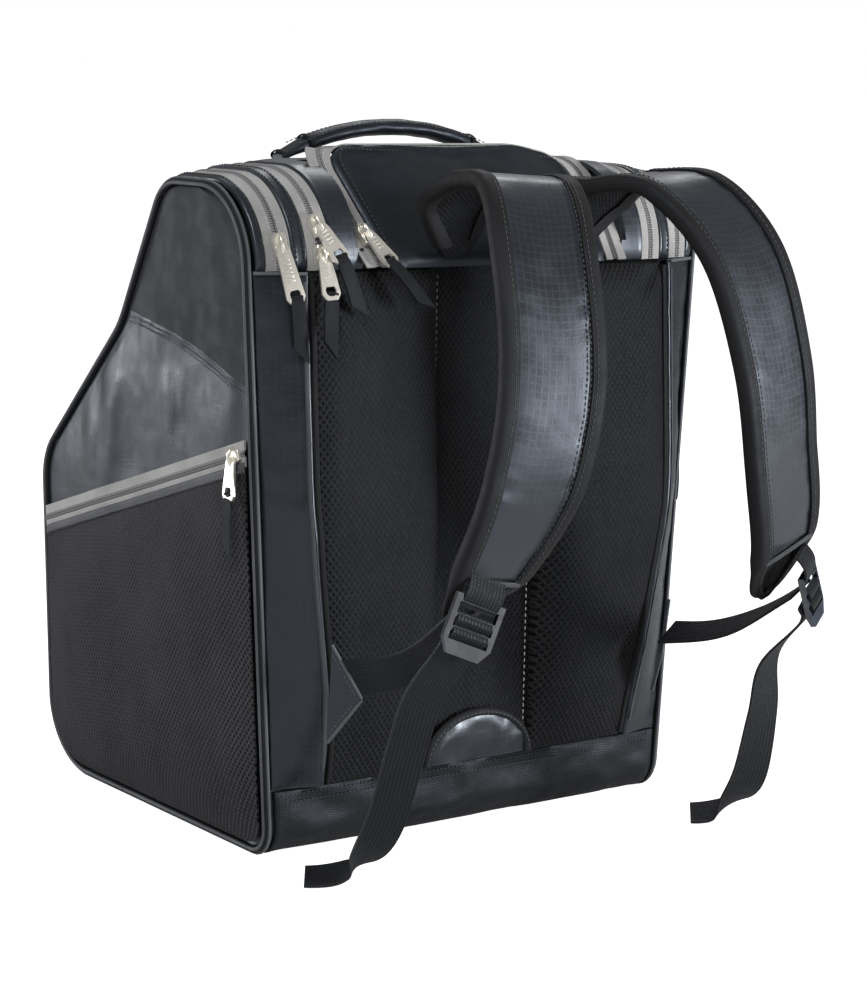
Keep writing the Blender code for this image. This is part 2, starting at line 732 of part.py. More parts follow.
# ---------------------------------------------------------------- carry handle
def make_handle():
    count = 12
    stops = spread(-1.0, 1.0, count)
    centres = []
    for t in stops:
        rise = HANDLE_RISE * (1.0 - abs(t) ** 2.1)
        centres.append(Vector((t * HANDLE_HALF_SPAN, HANDLE_Y, HANDLE_END_Z + rise)))

    def ring(i):
        fade = ease((1.0 - abs(stops[i])) / 0.35)
        deep = mix(0.0085, HANDLE_HALF_DEPTH, fade)
        high = mix(0.0032, HANDLE_HALF_HEIGHT, fade)
        angles = [math.radians(45 * k) for k in range(8)]
        return [Vector((0.0, deep * math.cos(a), high * math.sin(a))) for a in angles]

    tube("carry_handle", centres, ring, "coated_ripstop",
         pivot=(0.0, HANDLE_Y, HANDLE_END_Z))


# ---------------------------------------------------------------- shoulder straps
def strap_frame(side, t):
    """Centre, direction, width toward the outer side and outward normal of a strap at t."""
    route = STRAP_ROUTE + STRAP_END[side]
    mirror = Vector((side, 1.0, 1.0))
    here = smooth_route(route, t) * mirror
    step = 0.004
    along = (smooth_route(route, t + step) - smooth_route(route, t - step)) * mirror
    along.normalize()
    flat = Vector((side, 0.0, 0.0))
    flat = (flat - along * along.dot(flat)).normalized()
    lift = along.cross(flat) * side
    twist = math.radians(blend_values(STRAP_TWIST[side], t))
    width = flat * math.cos(twist) - lift * math.sin(twist)
    return here, along, width, along.cross(width) * side


def make_strap_pad(side, tag):
    def surface(t, v):
        centre, along, width, normal = strap_frame(side, t)
        return centre + width * (v * rounded(t) * blend_values(STRAP_HALF_WIDTH, t)), normal

    def half_thickness(t, v):
        tip = ease((t - STRAP_TIP_FROM) / (1.0 - STRAP_TIP_FROM) * 2.0)
        return mix(STRAP_THICKNESS, STRAP_TIP_THICKNESS, tip) / 2.0

    def rounded(t):
        past = max(0.0, (t - STRAP_TIP_FROM) / (1.0 - STRAP_TIP_FROM))
        return 1.0 - 0.62 * (1.0 - math.sqrt(1.0 - past ** 2))

    stops = [0.0, 0.06, 0.125] + spread(0.125, STRAP_TIP_FROM, 13)[1:] + [0.92, 0.96, 0.985, 1.0]
    sheet("strap_pad_" + tag, surface, stops, [-1.0, 0.0, 1.0],
          lambda t, v: -half_thickness(t, v), half_thickness, "coated_ripstop",
          pivot=strap_pivot(side))


def strap_pivot(side):
    return Vector(STRAP_ROUTE[0]) * Vector((side, 1.0, 1.0))


def buckle_frame(side):
    """Middle of the buckle's top bar, with the strap's directions there."""
    mirror = Vector((side, 1.0, 1.0))
    along = (Vector(BUCKLE_DIRECTION[side]) * mirror).normalized()
    width = Vector(BUCKLE_WIDTH_WAY[side]) * mirror
    width = (width - along * along.dot(width)).normalized()
    normal = along.cross(width) * side
    return Vector(BUCKLE_TOP[side]) * mirror, along, width, normal


def make_buckle(side, tag):
    """Ladder-lock: a frame with a top bar, two middle bars and a lifting lip."""
    top, along, width, normal = buckle_frame(side)
    bar = BUCKLE_BAR
    rows = [0.0, bar]
    for start in (0.0115, 0.0195):
        rows += [start, start + bar * 0.7]
    rows += [0.0275, BUCKLE_LENGTH]
    columns = [-BUCKLE_HALF_WIDTH, -WEB_HALF_WIDTH - 0.0012, WEB_HALF_WIDTH + 0.0012,
               BUCKLE_HALF_WIDTH]

    def surface(u, v):
        narrowing = 1.0 - 0.35 * ease((u - 0.028) / (BUCKLE_LENGTH - 0.028))
        return top + along * (u - bar / 2.0) + width * (v * narrowing), normal

    def slot(i, j):
        return j == 1 and i in (1, 3, 5)

    sheet("ladder_lock_" + tag, surface, rows, columns, -BUCKLE_THICKNESS / 2.0,
          BUCKLE_THICKNESS / 2.0, "gunmetal", skip=slot, pivot=top)


def make_lower_webbing(side, tag):
    """From the corner tab to the back of the buckle's middle bars."""
    mirror = Vector((side, 1.0, 1.0))
    top, along, width, normal = buckle_frame(side)
    end = top + along * 0.011 - normal * WEB_OFFSET
    start = TAB_TIP.lerp(TAB_TOP, 0.42) * mirror + Vector((0.0, -0.0035, 0.0))
    reach = end - start
    direction = reach.normalized()
    first_width = (Vector(LOWER_WEB_WIDTH_WAY[side]) * mirror).normalized()
    drape = Vector((0.0, -0.25, -1.0)).normalized()

    def surface(t, v):
        sag = drape * (reach.length * 0.07 * math.sin(math.pi * t))
        turned = first_width.lerp(width, ease(1.15 * t)).normalized()
        turned = (turned - direction * direction.dot(turned)).normalized()
        return start + reach * t + sag + turned * (v * WEB_HALF_WIDTH), turned.cross(direction)

    sheet("lower_webbing_" + tag, surface, spread(0.0, 1.0, 8), [-1.0, 1.0],
          -WEB_THICKNESS / 2.0, WEB_THICKNESS / 2.0, "webbing", pivot=strap_pivot(side))


def make_tail(side, tag):
    """Free end of the webbing, hanging from the back of the buckle to the floor."""
    top, along, width, normal = buckle_frame(side)
    start = top + along * 0.019 - normal * WEB_OFFSET
    points = [start, start + along * 0.012 - normal * 0.001]
    points += [Vector(p) for p in TAIL_ROUTE[side]]
    lower_width = Vector((0.88, -0.47, 0.0)) * side
    last_width = Vector((0.45, 0.72, 0.53)) * side

    def surface(t, v):
        centre = smooth_route(points, t)
        direction = smooth_route(points, t + 0.02) - smooth_route(points, t - 0.02)
        direction.normalize()
        across = width.lerp(lower_width, ease(t * 1.3)).lerp(last_width, ease(t * 5.0 - 4.0))
        across = (across - direction * direction.dot(across)).normalized()
        return centre + across * (v * WEB_HALF_WIDTH), direction.cross(across) * side

    sheet("webbing_tail_" + tag, surface, spread(0.0, 1.0, 16), [-1.0, 1.0],
          -WEB_THICKNESS / 2.0, WEB_THICKNESS / 2.0, "webbing", pivot=strap_pivot(side))


def make_tab(side, tag):
    """Folded triangle of coated fabric sewn into the seam beside the back pad."""
    mirror = Vector((side, 1.0, 1.0))
    corners = [p * mirror for p in (TAB_TOP, TAB_BOTTOM, TAB_TIP)]
    normal = (corners[1] - corners[0]).cross(corners[2] - corners[0]).normalized()
    bm = bmesh.new()
    upper = [bm.verts.new(p + normal * TAB_THICKNESS / 2.0) for p in corners]
    lower = [bm.verts.new(p - normal * TAB_THICKNESS / 2.0) for p in corners]
    bm.faces.new(upper)
    bm.faces.new(list(reversed(lower)))
    for k in range(3):
        m = (k + 1) % 3
        bm.faces.new((upper[m], upper[k], lower[k], lower[m]))
    finish_mesh("webbing_tab_" + tag, bm, "coated_ripstop")


# ---------------------------------------------------------------- zipper hardware
def hardware_frame(position, down, normal):
    """Local axes: +Y along the way the pull hangs, +Z out of the tape."""
    z = normal.normalized()
    y = (down - z * z.dot(down)).normalized()
    x = y.cross(z)
    return Matrix.Translation(position) @ Matrix((x, y, z)).transposed().to_4x4()


def prism(bm, outline, low, high):
    """A closed prism over an outline of (x, y) points."""
    top = [bm.verts.new((x, y, high)) for x, y in outline]
    bottom = [bm.verts.new((x, y, low)) for x, y in outline]
    bm.faces.new(top)
    bm.faces.new(list(reversed(bottom)))
    for k in range(len(outline)):
        m = (k + 1) % len(outline)
        bm.faces.new((top[m], top[k], bottom[k], bottom[m]))


def ring_prism(bm, outer, hole, low, high):
    """A plate with one hole, where the outer outline and the hole have as many points."""
    count = len(outer)
    layers = [[bm.verts.new((x, y, z)) for x, y in outline]
              for z in (high, low) for outline in (outer, hole)]
    top_out, top_in, low_out, low_in = layers
    for k in range(count):
        m = (k + 1) % count
        bm.faces.new((top_out[k], top_out[m], top_in[m], top_in[k]))
        bm.faces.new((low_out[m], low_out[k], low_in[k], low_in[m]))
        bm.faces.new((top_out[m], top_out[k], low_out[k], low_out[m]))
        bm.faces.new((top_in[k], top_in[m], low_in[m], low_in[k]))


def hardware_piece(name, bm, frame, material_name):
    obj = finish_mesh(name, bm, material_name)
    obj.matrix_world = frame
    return obj


def make_slider(name, frame):
    """Body of a slider, wider where the two halves of the chain part."""
    bm = bmesh.new()
    half, length = SLIDER_HALF_WIDTH, SLIDER_LENGTH
    outline = ((-half * 0.6, length * 0.5), (-half, -length * 0.15), (-half * 0.7, -length * 0.5),
               (half * 0.7, -length * 0.5), (half, -length * 0.15), (half * 0.6, length * 0.5))
    prism(bm, outline, SLIDER_CLEARANCE, SLIDER_HEIGHT)
    hardware_piece(name, bm, frame, "nickel")


def hanging_frame(position, down, slider_frame):
    """Axes of a piece that hangs exactly along down and faces away from its slider's tape."""
    down = Vector(down).normalized()
    across = down.cross(slider_frame.to_3x3() @ Vector((0.0, 0.0, 1.0))).normalized()
    frame = Matrix((across, down, across.cross(down))).transposed().to_4x4()
    frame.translation = position
    return frame


def make_pull(name, frame, length, pull_down, tug_down):
    """Metal pull with a round eye, hinged above the slider, and the fabric tug that hangs from it."""
    hinge = frame @ Vector((0.0, 0.0, SLIDER_HEIGHT + PULL_THICKNESS / 2.0 + GAP))
    swing = hanging_frame(hinge, pull_down, frame)
    top, half, thick = PULL_HALF_TOP, PULL_HALF_END, PULL_THICKNESS / 2.0
    eye = length - PULL_HOLE - 0.0022
    bm = bmesh.new()
    outer = ((top * 0.7, 0.0), (top, 0.004), (half, length - 0.004), (half - 0.0025, length),
             (0.0025 - half, length), (-half, length - 0.004), (-top, 0.004), (-top * 0.7, 0.0))
    angles = [math.radians(a) for a in (-45, -10, 30, 65, 115, 150, 190, 225)]
    hole = [(PULL_HOLE * math.cos(a), eye + PULL_HOLE * math.sin(a)) for a in angles]
    ring_prism(bm, outer, hole, -thick, thick)
    hardware_piece(name, bm, swing, "nickel")
    tug = bmesh.new()
    wide, start = TUG_HALF_WIDTH, 0.0022
    outline = ((-wide, start), (wide, start), (wide, start + TUG_LENGTH * 0.72),
               (-wide, start + TUG_LENGTH))
    prism(tug, outline, -TUG_THICKNESS / 2.0, TUG_THICKNESS / 2.0)
    end = swing @ Vector((0.0, length, 0.0))
    hardware_piece(name.replace("_pull", "_tug"), tug, hanging_frame(end, tug_down, frame), "rubber")


def wrap_frame(side, s, inset):
    """Point on the crowned wrap, the way along it toward the back's foot, and its normal."""
    step = 0.002
    point = wrap(s, from_edge(side, inset))[0]
    behind = wrap(s - step, from_edge(side, inset))[0]
    ahead = wrap(s + step, from_edge(side, inset))[0]
    inner = wrap(s, from_edge(side, inset + step))[0]
    outer = wrap(s, from_edge(side, inset - step))[0]
    down = (behind - ahead).normalized()
    normal = down.cross(outer - inner) * side
    return point, down, normal.normalized()


def arc_position(side, inset, degrees):
    """Frame on a zipper where it runs round the back's top edge."""
    height = ARC_CENTRE.z + PROFILE[1][1] * math.sin(math.radians(degrees))
    return wrap_frame(side, OUTLINE.on_back(height), inset)


def middle(pair):
    return (pair[0] + pair[1]) / 2.0


def place_sliders():
    """Each slider's name, point, way down, normal, pull length, and ways its pull and tug hang."""
    spots = []
    main, boot = middle(MAIN_ZIP), middle(BOOT_ZIP)
    spots.append(("main_slider_upper", *arc_position(-1, main, 22.5), PULL_LENGTH,
                  (0.52, -0.44, -1.0), (0.28, -0.20, -1.0)))
    spots.append(("main_slider_lower", *arc_position(-1, main, 4.0), PULL_LENGTH,
                  (0.02, -0.36, -1.0), (-0.21, -0.28, -1.0)))
    spots.append(("boot_slider_left", *arc_position(-1, boot, 12.0), BOOT_PULL_LENGTH,
                  (0.20, -0.22, -1.0), (0.07, -0.05, -1.0)))

    point, up, normal = wrap_frame(1, OUTLINE.on_front(0.130), boot)
    spots.append(("boot_slider_right", point, -up, normal, BOOT_PULL_LENGTH,
                  (0.0, 0.06, -1.0), (0.0, 0.08, -1.0)))

    along = 0.0225
    x = -(lid_half(along / LID_LENGTH) + LID_TAPE_WIDTH / 2.0)
    point = LID_FOOT + LID_ALONG * along + Vector((x, 0.0, 0.0))
    spots.append(("lid_slider", point, -LID_ALONG, LID_NORMAL, PULL_LENGTH,
                  (0.49, -0.84, -1.0), (0.62, -0.55, -1.0)))

    y = BACK_Y + 0.018
    for side, tag in ((-1, "left"), (1, "right")):
        point, normal = side_plane(side, y, pocket_zip_z(y), GAP + TAPE)
        spots.append(("pocket_slider_" + tag, point, Vector((0.0, 0.0, -1.0)), normal, PULL_LENGTH,
                      (side * 0.06, 0.0, -1.0), (side * 0.02, 0.0, -1.0)))
    return spots


def make_zipper_hardware():
    fall = (POCKET_ZIP_BACK_Z - POCKET_ZIP_FRONT_Z) / (PROFILE[4][0][0] - BACK_Y)
    pocket_chain = Vector((0.0, -1.0, fall))
    for name, point, down, normal, length, pull_down, tug_down in place_sliders():
        chain = pocket_chain if name.startswith("pocket") else down
        make_slider(name, hardware_frame(point, chain, normal))
        frame = hardware_frame(point, down, normal)
        make_pull(name.replace("_slider", "_pull"), frame, length, pull_down, tug_down)


# ---------------------------------------------------------------- assembly
def build():
    clear_scene()
    make_base_panel()
    make_main_zipper()
    make_top_panel()
    make_front_flap()
    make_back_panel()
    make_lid()
    make_lid_zipper()
    make_liner()
    make_handle()
    for side, tag in ((-1, "left"), (1, "right")):
        make_strips(side, tag)
        make_side_panel(side, tag)
        make_pocket(side, tag)
        make_pocket_zipper(side, tag)
        make_piping(side, tag)
        make_back_pad(side, tag)
        make_back_gusset(side, tag)
        make_divider(side, tag)
        make_strap_pad(side, tag)
        make_buckle(side, tag)
        make_lower_webbing(side, tag)
        make_tail(side, tag)
        make_tab(side, tag)
    make_zipper_hardware()


build()
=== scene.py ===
"""Looks of the ski boot bag: sewn cloth, padding, piping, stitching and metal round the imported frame."""

import json
import math

import bmesh
import bpy
import numpy as np
from mathutils import Matrix, Vector, noise


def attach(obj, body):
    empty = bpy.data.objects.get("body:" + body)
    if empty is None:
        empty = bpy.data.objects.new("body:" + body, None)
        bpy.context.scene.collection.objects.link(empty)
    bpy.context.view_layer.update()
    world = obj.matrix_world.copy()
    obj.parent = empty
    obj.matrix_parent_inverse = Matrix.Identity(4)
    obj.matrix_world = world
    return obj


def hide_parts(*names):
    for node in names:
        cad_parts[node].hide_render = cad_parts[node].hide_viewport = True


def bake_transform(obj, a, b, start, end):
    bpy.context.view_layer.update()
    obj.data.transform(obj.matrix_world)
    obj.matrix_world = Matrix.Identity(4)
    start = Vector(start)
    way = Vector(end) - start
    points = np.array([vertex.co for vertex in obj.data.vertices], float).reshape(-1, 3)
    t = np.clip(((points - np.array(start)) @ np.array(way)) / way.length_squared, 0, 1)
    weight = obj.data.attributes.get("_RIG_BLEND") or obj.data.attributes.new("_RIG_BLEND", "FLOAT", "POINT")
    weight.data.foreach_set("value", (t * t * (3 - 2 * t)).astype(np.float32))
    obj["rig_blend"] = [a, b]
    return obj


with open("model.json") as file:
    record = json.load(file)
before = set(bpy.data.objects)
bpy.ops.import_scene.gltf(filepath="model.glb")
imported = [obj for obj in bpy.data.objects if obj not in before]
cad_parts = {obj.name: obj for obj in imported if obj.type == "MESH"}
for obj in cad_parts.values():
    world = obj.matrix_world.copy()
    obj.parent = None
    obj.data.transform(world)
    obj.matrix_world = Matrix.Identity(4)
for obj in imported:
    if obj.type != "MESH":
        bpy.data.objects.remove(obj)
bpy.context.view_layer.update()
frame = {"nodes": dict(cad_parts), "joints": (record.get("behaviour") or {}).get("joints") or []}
NODES = frame["nodes"]
JOINTS = {joint["name"]: joint for joint in frame["joints"]}
SIDES = ((-1, "left"), (1, "right"))

# ---------------------------------------------------------------- dimensions, as in the CAD part
HALF_WIDTH_AT_FLOOR = 0.161
FLARE = 0.053
GAP = 0.0004
PROFILE = (
    ((-0.148, 0.000), 0.022),
    ((-0.148, 0.434), 0.050),
    ((-0.047, 0.434), 0.035),
    ((0.018, 0.335), 0.080),
    ((0.138, 0.231), 0.050),
    ((0.149, 0.000), 0.050),
)
BACK_Y = PROFILE[0][0][0]
CROWN = 0.012
SKIN = 0.003
TAPE = 0.002
PIPING_RADIUS = 0.0034
BACK_SEAM_Z = 0.3795
BASE_SEAM_BACK_Z = 0.046
BASE_SEAM_FRONT_Z = 0.066
CROSS_ZIP_WIDTH = 0.018
RIDGE_Y = -0.086
FOLD_Y = 0.002
EDGE = 0.0042
BOOT_ZIP = (0.0105, 0.0275)
MAIN_ZIP = (0.0380, 0.0545)
PAD_HALF_TOP = 0.1445
PAD_HALF_BOTTOM = 0.1235
CHANNEL_HALF = 0.043
PAD_PROUD = (0.008, 0.022, 0.028, 0.015)
LID_FOOT = Vector((0.0, -0.1660, 0.3820))
LID_HEAD = Vector((0.0, -0.1045, 0.4550))
LID_HALF_FOOT = 0.0880
LID_HALF_HEAD = 0.1010
LID_CORNER = 0.020
LID_THICKNESS = 0.005
LID_TAPE_WIDTH = 0.0175
HEAD_STEP = 0.0026
HEAD_TAPE_FALL = math.radians(22)
DIVIDER_X = 0.062
DIVIDER_TOP_X = 0.1425
DIVIDER_TURN_Z = 0.300
LINER_DEPTH = 0.030
HANDLE_Y = -0.034
HANDLE_HALF_SPAN = 0.090
HANDLE_END_Z = 0.4440
HANDLE_RISE = 0.0205
POCKET_ZIP_BACK_Z = 0.268
POCKET_ZIP_FRONT_Z = 0.182
POCKET_ZIP_WIDTH = 0.017
POCKET_BULGE = 0.0075
STRAP_ROUTE = (
    (0.043, -0.174, 0.388),
    (0.052, -0.190, 0.426),
    (0.050, -0.226, 0.436),
    (0.061, -0.271, 0.435),
    (0.078, -0.309, 0.396),
    (0.087, -0.331, 0.330),
    (0.098, -0.331, 0.268),
)
STRAP_END = {-1: ((0.111, -0.310, 0.214), (0.121, -0.288, 0.181)),
             1: ((0.118, -0.316, 0.214), (0.125, -0.293, 0.174))}
STRAP_TWIST = {-1: (0, 8, -6, -1, 4, 9, 8, -4, -10), 1: (0, 8, -6, -1, 4, 9, 13, 16, 16)}
STRAP_HALF_WIDTH = (0.012, 0.034, 0.0355, 0.0355, 0.0355, 0.035, 0.034, 0.032, 0.026)
STRAP_THICKNESS = 0.010
STRAP_TIP_THICKNESS = 0.004
STRAP_TIP_FROM = 0.88
BUCKLE_TOP = {-1: (0.1275, -0.3190, 0.1965), 1: (0.1370, -0.3180, 0.1890)}
BUCKLE_DIRECTION = {-1: (0.38, 0.02, -0.92), 1: (0.30, -0.04, -0.95)}
BUCKLE_WIDTH_WAY = {-1: (0.91, 0.15, 0.38), 1: (0.80, 0.52, 0.25)}
WEB_HALF_WIDTH = 0.0125
WEB_THICKNESS = 0.0018
WEB_OFFSET = 0.0066
LOWER_WEB_WIDTH_WAY = {-1: (0.36, 0.27, 0.90), 1: (0.62, 0.78, 0.10)}
TAIL_ROUTE = {
    -1: ((-0.145, -0.290, 0.138), (-0.141, -0.268, 0.102), (-0.136, -0.240, 0.048),
         (-0.139, -0.221, 0.018), (-0.148, -0.211, 0.0090), (-0.168, -0.197, 0.0090)),
    1: ((0.131, -0.293, 0.128), (0.137, -0.282, 0.090), (0.146, -0.263, 0.042),
        (0.150, -0.244, 0.018), (0.148, -0.230, 0.0090), (0.134, -0.218, 0.0090)),
}
TAB_TOP = Vector((0.1390, -0.1820, 0.147))
TAB_BOTTOM = Vector((0.1350, -0.1720, 0.081))
TAB_TIP = Vector((0.1235, -0.1935, 0.112))

MM = 0.001


# ---------------------------------------------------------------- small helpers
def mix(a, b, t):
    return a + (b - a) * t


def ease(t):
    t = min(max(t, 0.0), 1.0)
    return t * t * (3.0 - 2.0 * t)


def mirror(side):
    """Turns a point of the right side into one of this side."""
    return Vector((side, 1.0, 1.0))


def half_width(z):
    return HALF_WIDTH_AT_FLOOR + FLARE * z


def spread(start, end, count):
    return [mix(start, end, i / count) for i in range(count + 1)]


def fine(start, end, step, rim=0.0, scale=1.0):
    """Values from start to end about step apart, with closer ones inside both ends for a rolled edge.

    scale is how many metres one unit of the value is, and step and rim are in metres.
    """
    count = max(2, math.ceil(abs(end - start) * scale / step))
    values = spread(start, end, count)
    if rim:
        sign = 1.0 if end > start else -1.0
        extra = [start + sign * rim * f / scale for f in (0.3, 1.0)]
        extra += [end - sign * rim * f / scale for f in (1.0, 0.3)]
        keep = [v for v in values[1:-1]
                if min(abs(v - start), abs(v - end)) * scale > rim * 1.5]
        values = sorted([start, end] + keep + extra, reverse=end < start)
    return values


def crumple(p, scale, seed=0.0, octaves=3):
    """Smooth noise from -1 to 1 at the given number of bumps per metre."""
    q = Vector((p[0] * scale + seed, p[1] * scale - seed, p[2] * scale + seed * 0.7))
    return noise.fractal(q, 0.8, 2.1, octaves)


def creases(p, scale, seed=0.0):
    """Sharper folds: ridges where the noise crosses nothing."""
    return 1.0 - min(1.0, abs(crumple(p, scale, seed, 2)) * 3.2)


def smooth_route(points, t):
    place = min(max(t, 0.0), 1.0) * (len(points) - 1)
    i = min(int(place), len(points) - 2)
    f = place - i
    p1, p2 = Vector(points[i]), Vector(points[i + 1])
    p0 = Vector(points[i - 1]) if i > 0 else p1 * 2.0 - p2
    p3 = Vector(points[i + 2]) if i + 2 < len(points) else p2 * 2.0 - p1
    m1, m2 = (p2 - p0) * 0.5, (p3 - p1) * 0.5
    a, b = f * f * (3.0 - 2.0 * f), f * (1.0 - f) * (1.0 - f)
    return p1 * (1.0 - a) + p2 * a + m1 * b - m2 * (f * f * (1.0 - f))


def blend_values(values, t):
    return float(np.interp(t, np.linspace(0.0, 1.0, len(values)), values))


class Profile:
    """The rounded side outline, read by arc length from the middle of the base's back corner."""

    def __init__(self, corners, facets=24):
        points = []
        count = len(corners)
        for k in range(count):
            at = Vector(corners[k][0])
            radius = corners[k][1]
            back = (Vector(corners[k - 1][0]) - at).normalized()
            ahead = (Vector(corners[(k + 1) % count][0]) - at).normalized()
            turn = math.pi - back.angle(ahead)
            reach = radius * math.tan(turn / 2.0)
            centre = at + (back + ahead).normalized() * (radius / math.cos(turn / 2.0))
            start, end = at + back * reach - centre, at + ahead * reach - centre
            angle = start.angle(end)
            for n in range(facets + 1):
                t = n / facets
                points.append(centre + (start * math.sin((1.0 - t) * angle)
                                        + end * math.sin(t * angle)) / math.sin(angle))
        points.append(points[0].copy())
        self.y = np.array([p[0] for p in points])
        self.z = np.array([p[1] for p in points])
        self.s = np.concatenate(([0.0], np.cumsum(np.hypot(np.diff(self.y), np.diff(self.z)))))
        self.length = float(self.s[-1])
        self.apex = int(np.argmax(self.z))
        self.spans = {}

    def at(self, s, step=0.0012):
        """Point (y, z) and outward normal (y, z) at arc length s."""
        s = s % self.length
        y, z = np.interp(s, self.s, self.y), np.interp(s, self.s, self.z)
        before, after = (s - step) % self.length, (s + step) % self.length
        dy = np.interp(after, self.s, self.y) - np.interp(before, self.s, self.y)
        dz = np.interp(after, self.s, self.z) - np.interp(before, self.s, self.z)
        size = math.hypot(dy, dz)
        return float(y), float(z), float(-dz / size), float(dy / size)

    def on_back(self, z):
        keep = slice(0, self.apex + 1)
        return float(np.interp(z, self.z[keep], self.s[keep]))

    def on_front(self, z):
        low = int(np.argmin(np.where(np.arange(len(self.z)) > self.apex, self.z, 9.0)))
        order = slice(low, self.apex, -1)
        return float(np.interp(z, self.z[order], self.s[order]))

    def on_top(self, y):
        keep = slice(self.apex, int(np.argmax(self.y)))
        return float(np.interp(y, self.y[keep], self.s[keep]))

    def inset_line(self, inset):
        if inset not in self.spans:
            rows = [self.at(float(v)) for v in self.s[:-1]]
            y = np.array([r[0] - r[2] * inset for r in rows])
            z = np.array([r[1] - r[3] * inset for r in rows])
            self.spans[inset] = (y, z, np.roll(y, -1), np.roll(z, -1))
        return self.spans[inset]

    def span(self, height, inset):
        """First and last y of the area inside the outline, inset on all sides, at this height."""
        y0, z0, y1, z1 = self.inset_line(inset)
        hit = ((z0 - height) * (z1 - height) <= 0.0) & (np.abs(z0 - z1) > 1e-9)
        t = (height - z0[hit]) / (z1[hit] - z0[hit])
        found = y0[hit] + (y1[hit] - y0[hit]) * t
        return float(found.min()), float(found.max())


OUTLINE = Profile(PROFILE)
S_BACK_SEAM = OUTLINE.on_back(BACK_SEAM_Z)
S_RIDGE = OUTLINE.on_top(RIDGE_Y)
S_FOLD = OUTLINE.on_top(FOLD_Y)
S_CROSS_TOP = OUTLINE.on_front(BASE_SEAM_FRONT_Z + CROSS_ZIP_WIDTH)
S_CROSS_BOTTOM = OUTLINE.on_front(BASE_SEAM_FRONT_Z)


def wrap(s, x_of_z):
    """Point and normal on the wrap that joins the two side panels."""
    y, z, ny, nz = OUTLINE.at(s)
    x = x_of_z(z)
    across = 1.0 - min(abs(x) / half_width(z), 1.0) ** 4
    front_drop = ease((S_CROSS_BOTTOM - s) / 0.06) if s < S_CROSS_BOTTOM else 0.0
    bulge = CROWN * across * front_drop
    return Vector((x, y + ny * bulge, z + nz * bulge)), Vector((0.0, ny, nz))


def from_edge(side, inset):
    return lambda z: side * (half_width(z) - inset)


def side_plane(side, y, z, out):
    normal = Vector((side, 0.0, -FLARE)).normalized()
    return Vector((side * half_width(z), y, z)) + normal * out, normal


def pocket_zip_z(y):
    return mix(POCKET_ZIP_BACK_Z, POCKET_ZIP_FRONT_Z, (y - BACK_Y) / (PROFILE[4][0][0] - BACK_Y))


# ---------------------------------------------------------------- meshes
def put(name, mesh, materials, body, nodes=(), smooth=40):
    """Links a finished mesh as a piece that rides on a body and stands for some nodes."""
    mesh.shade_smooth()
    if smooth:
        mesh.set_sharp_from_angle(angle=math.radians(smooth))
    obj = bpy.data.objects.new(name, mesh)
    for m in materials if isinstance(materials, (list, tuple)) else [materials]:
        obj.data.materials.append(m)
    bpy.context.scene.collection.objects.link(obj)
    if body:
        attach(obj, body)
    if nodes:
        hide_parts(*nodes)
    return obj


def closed_mesh(name, points, faces, cloth_values, edge_values, material_numbers=None):
    """A mesh whose faces point out, with the two attributes that the materials read."""
    mesh = bpy.data.meshes.new(name)
    mesh.from_pydata([tuple(p) for p in points], [], faces)
    if material_numbers:
        mesh.polygons.foreach_set("material_index", material_numbers)
    for label, values in (("cloth", cloth_values), ("edges", edge_values)):
        attribute = mesh.attributes.new(label, "FLOAT_VECTOR", "POINT")
        attribute.data.foreach_set("vector", values.astype(np.float32).ravel())
    bm = bmesh.new()
    bm.from_mesh(mesh)
    bmesh.ops.recalc_face_normals(bm, faces=bm.faces[:])
    if bm.calc_volume(signed=True) < 0.0:
        bmesh.ops.reverse_faces(bm, faces=bm.faces[:])
    bm.to_mesh(mesh)
    bm.free()
    return mesh


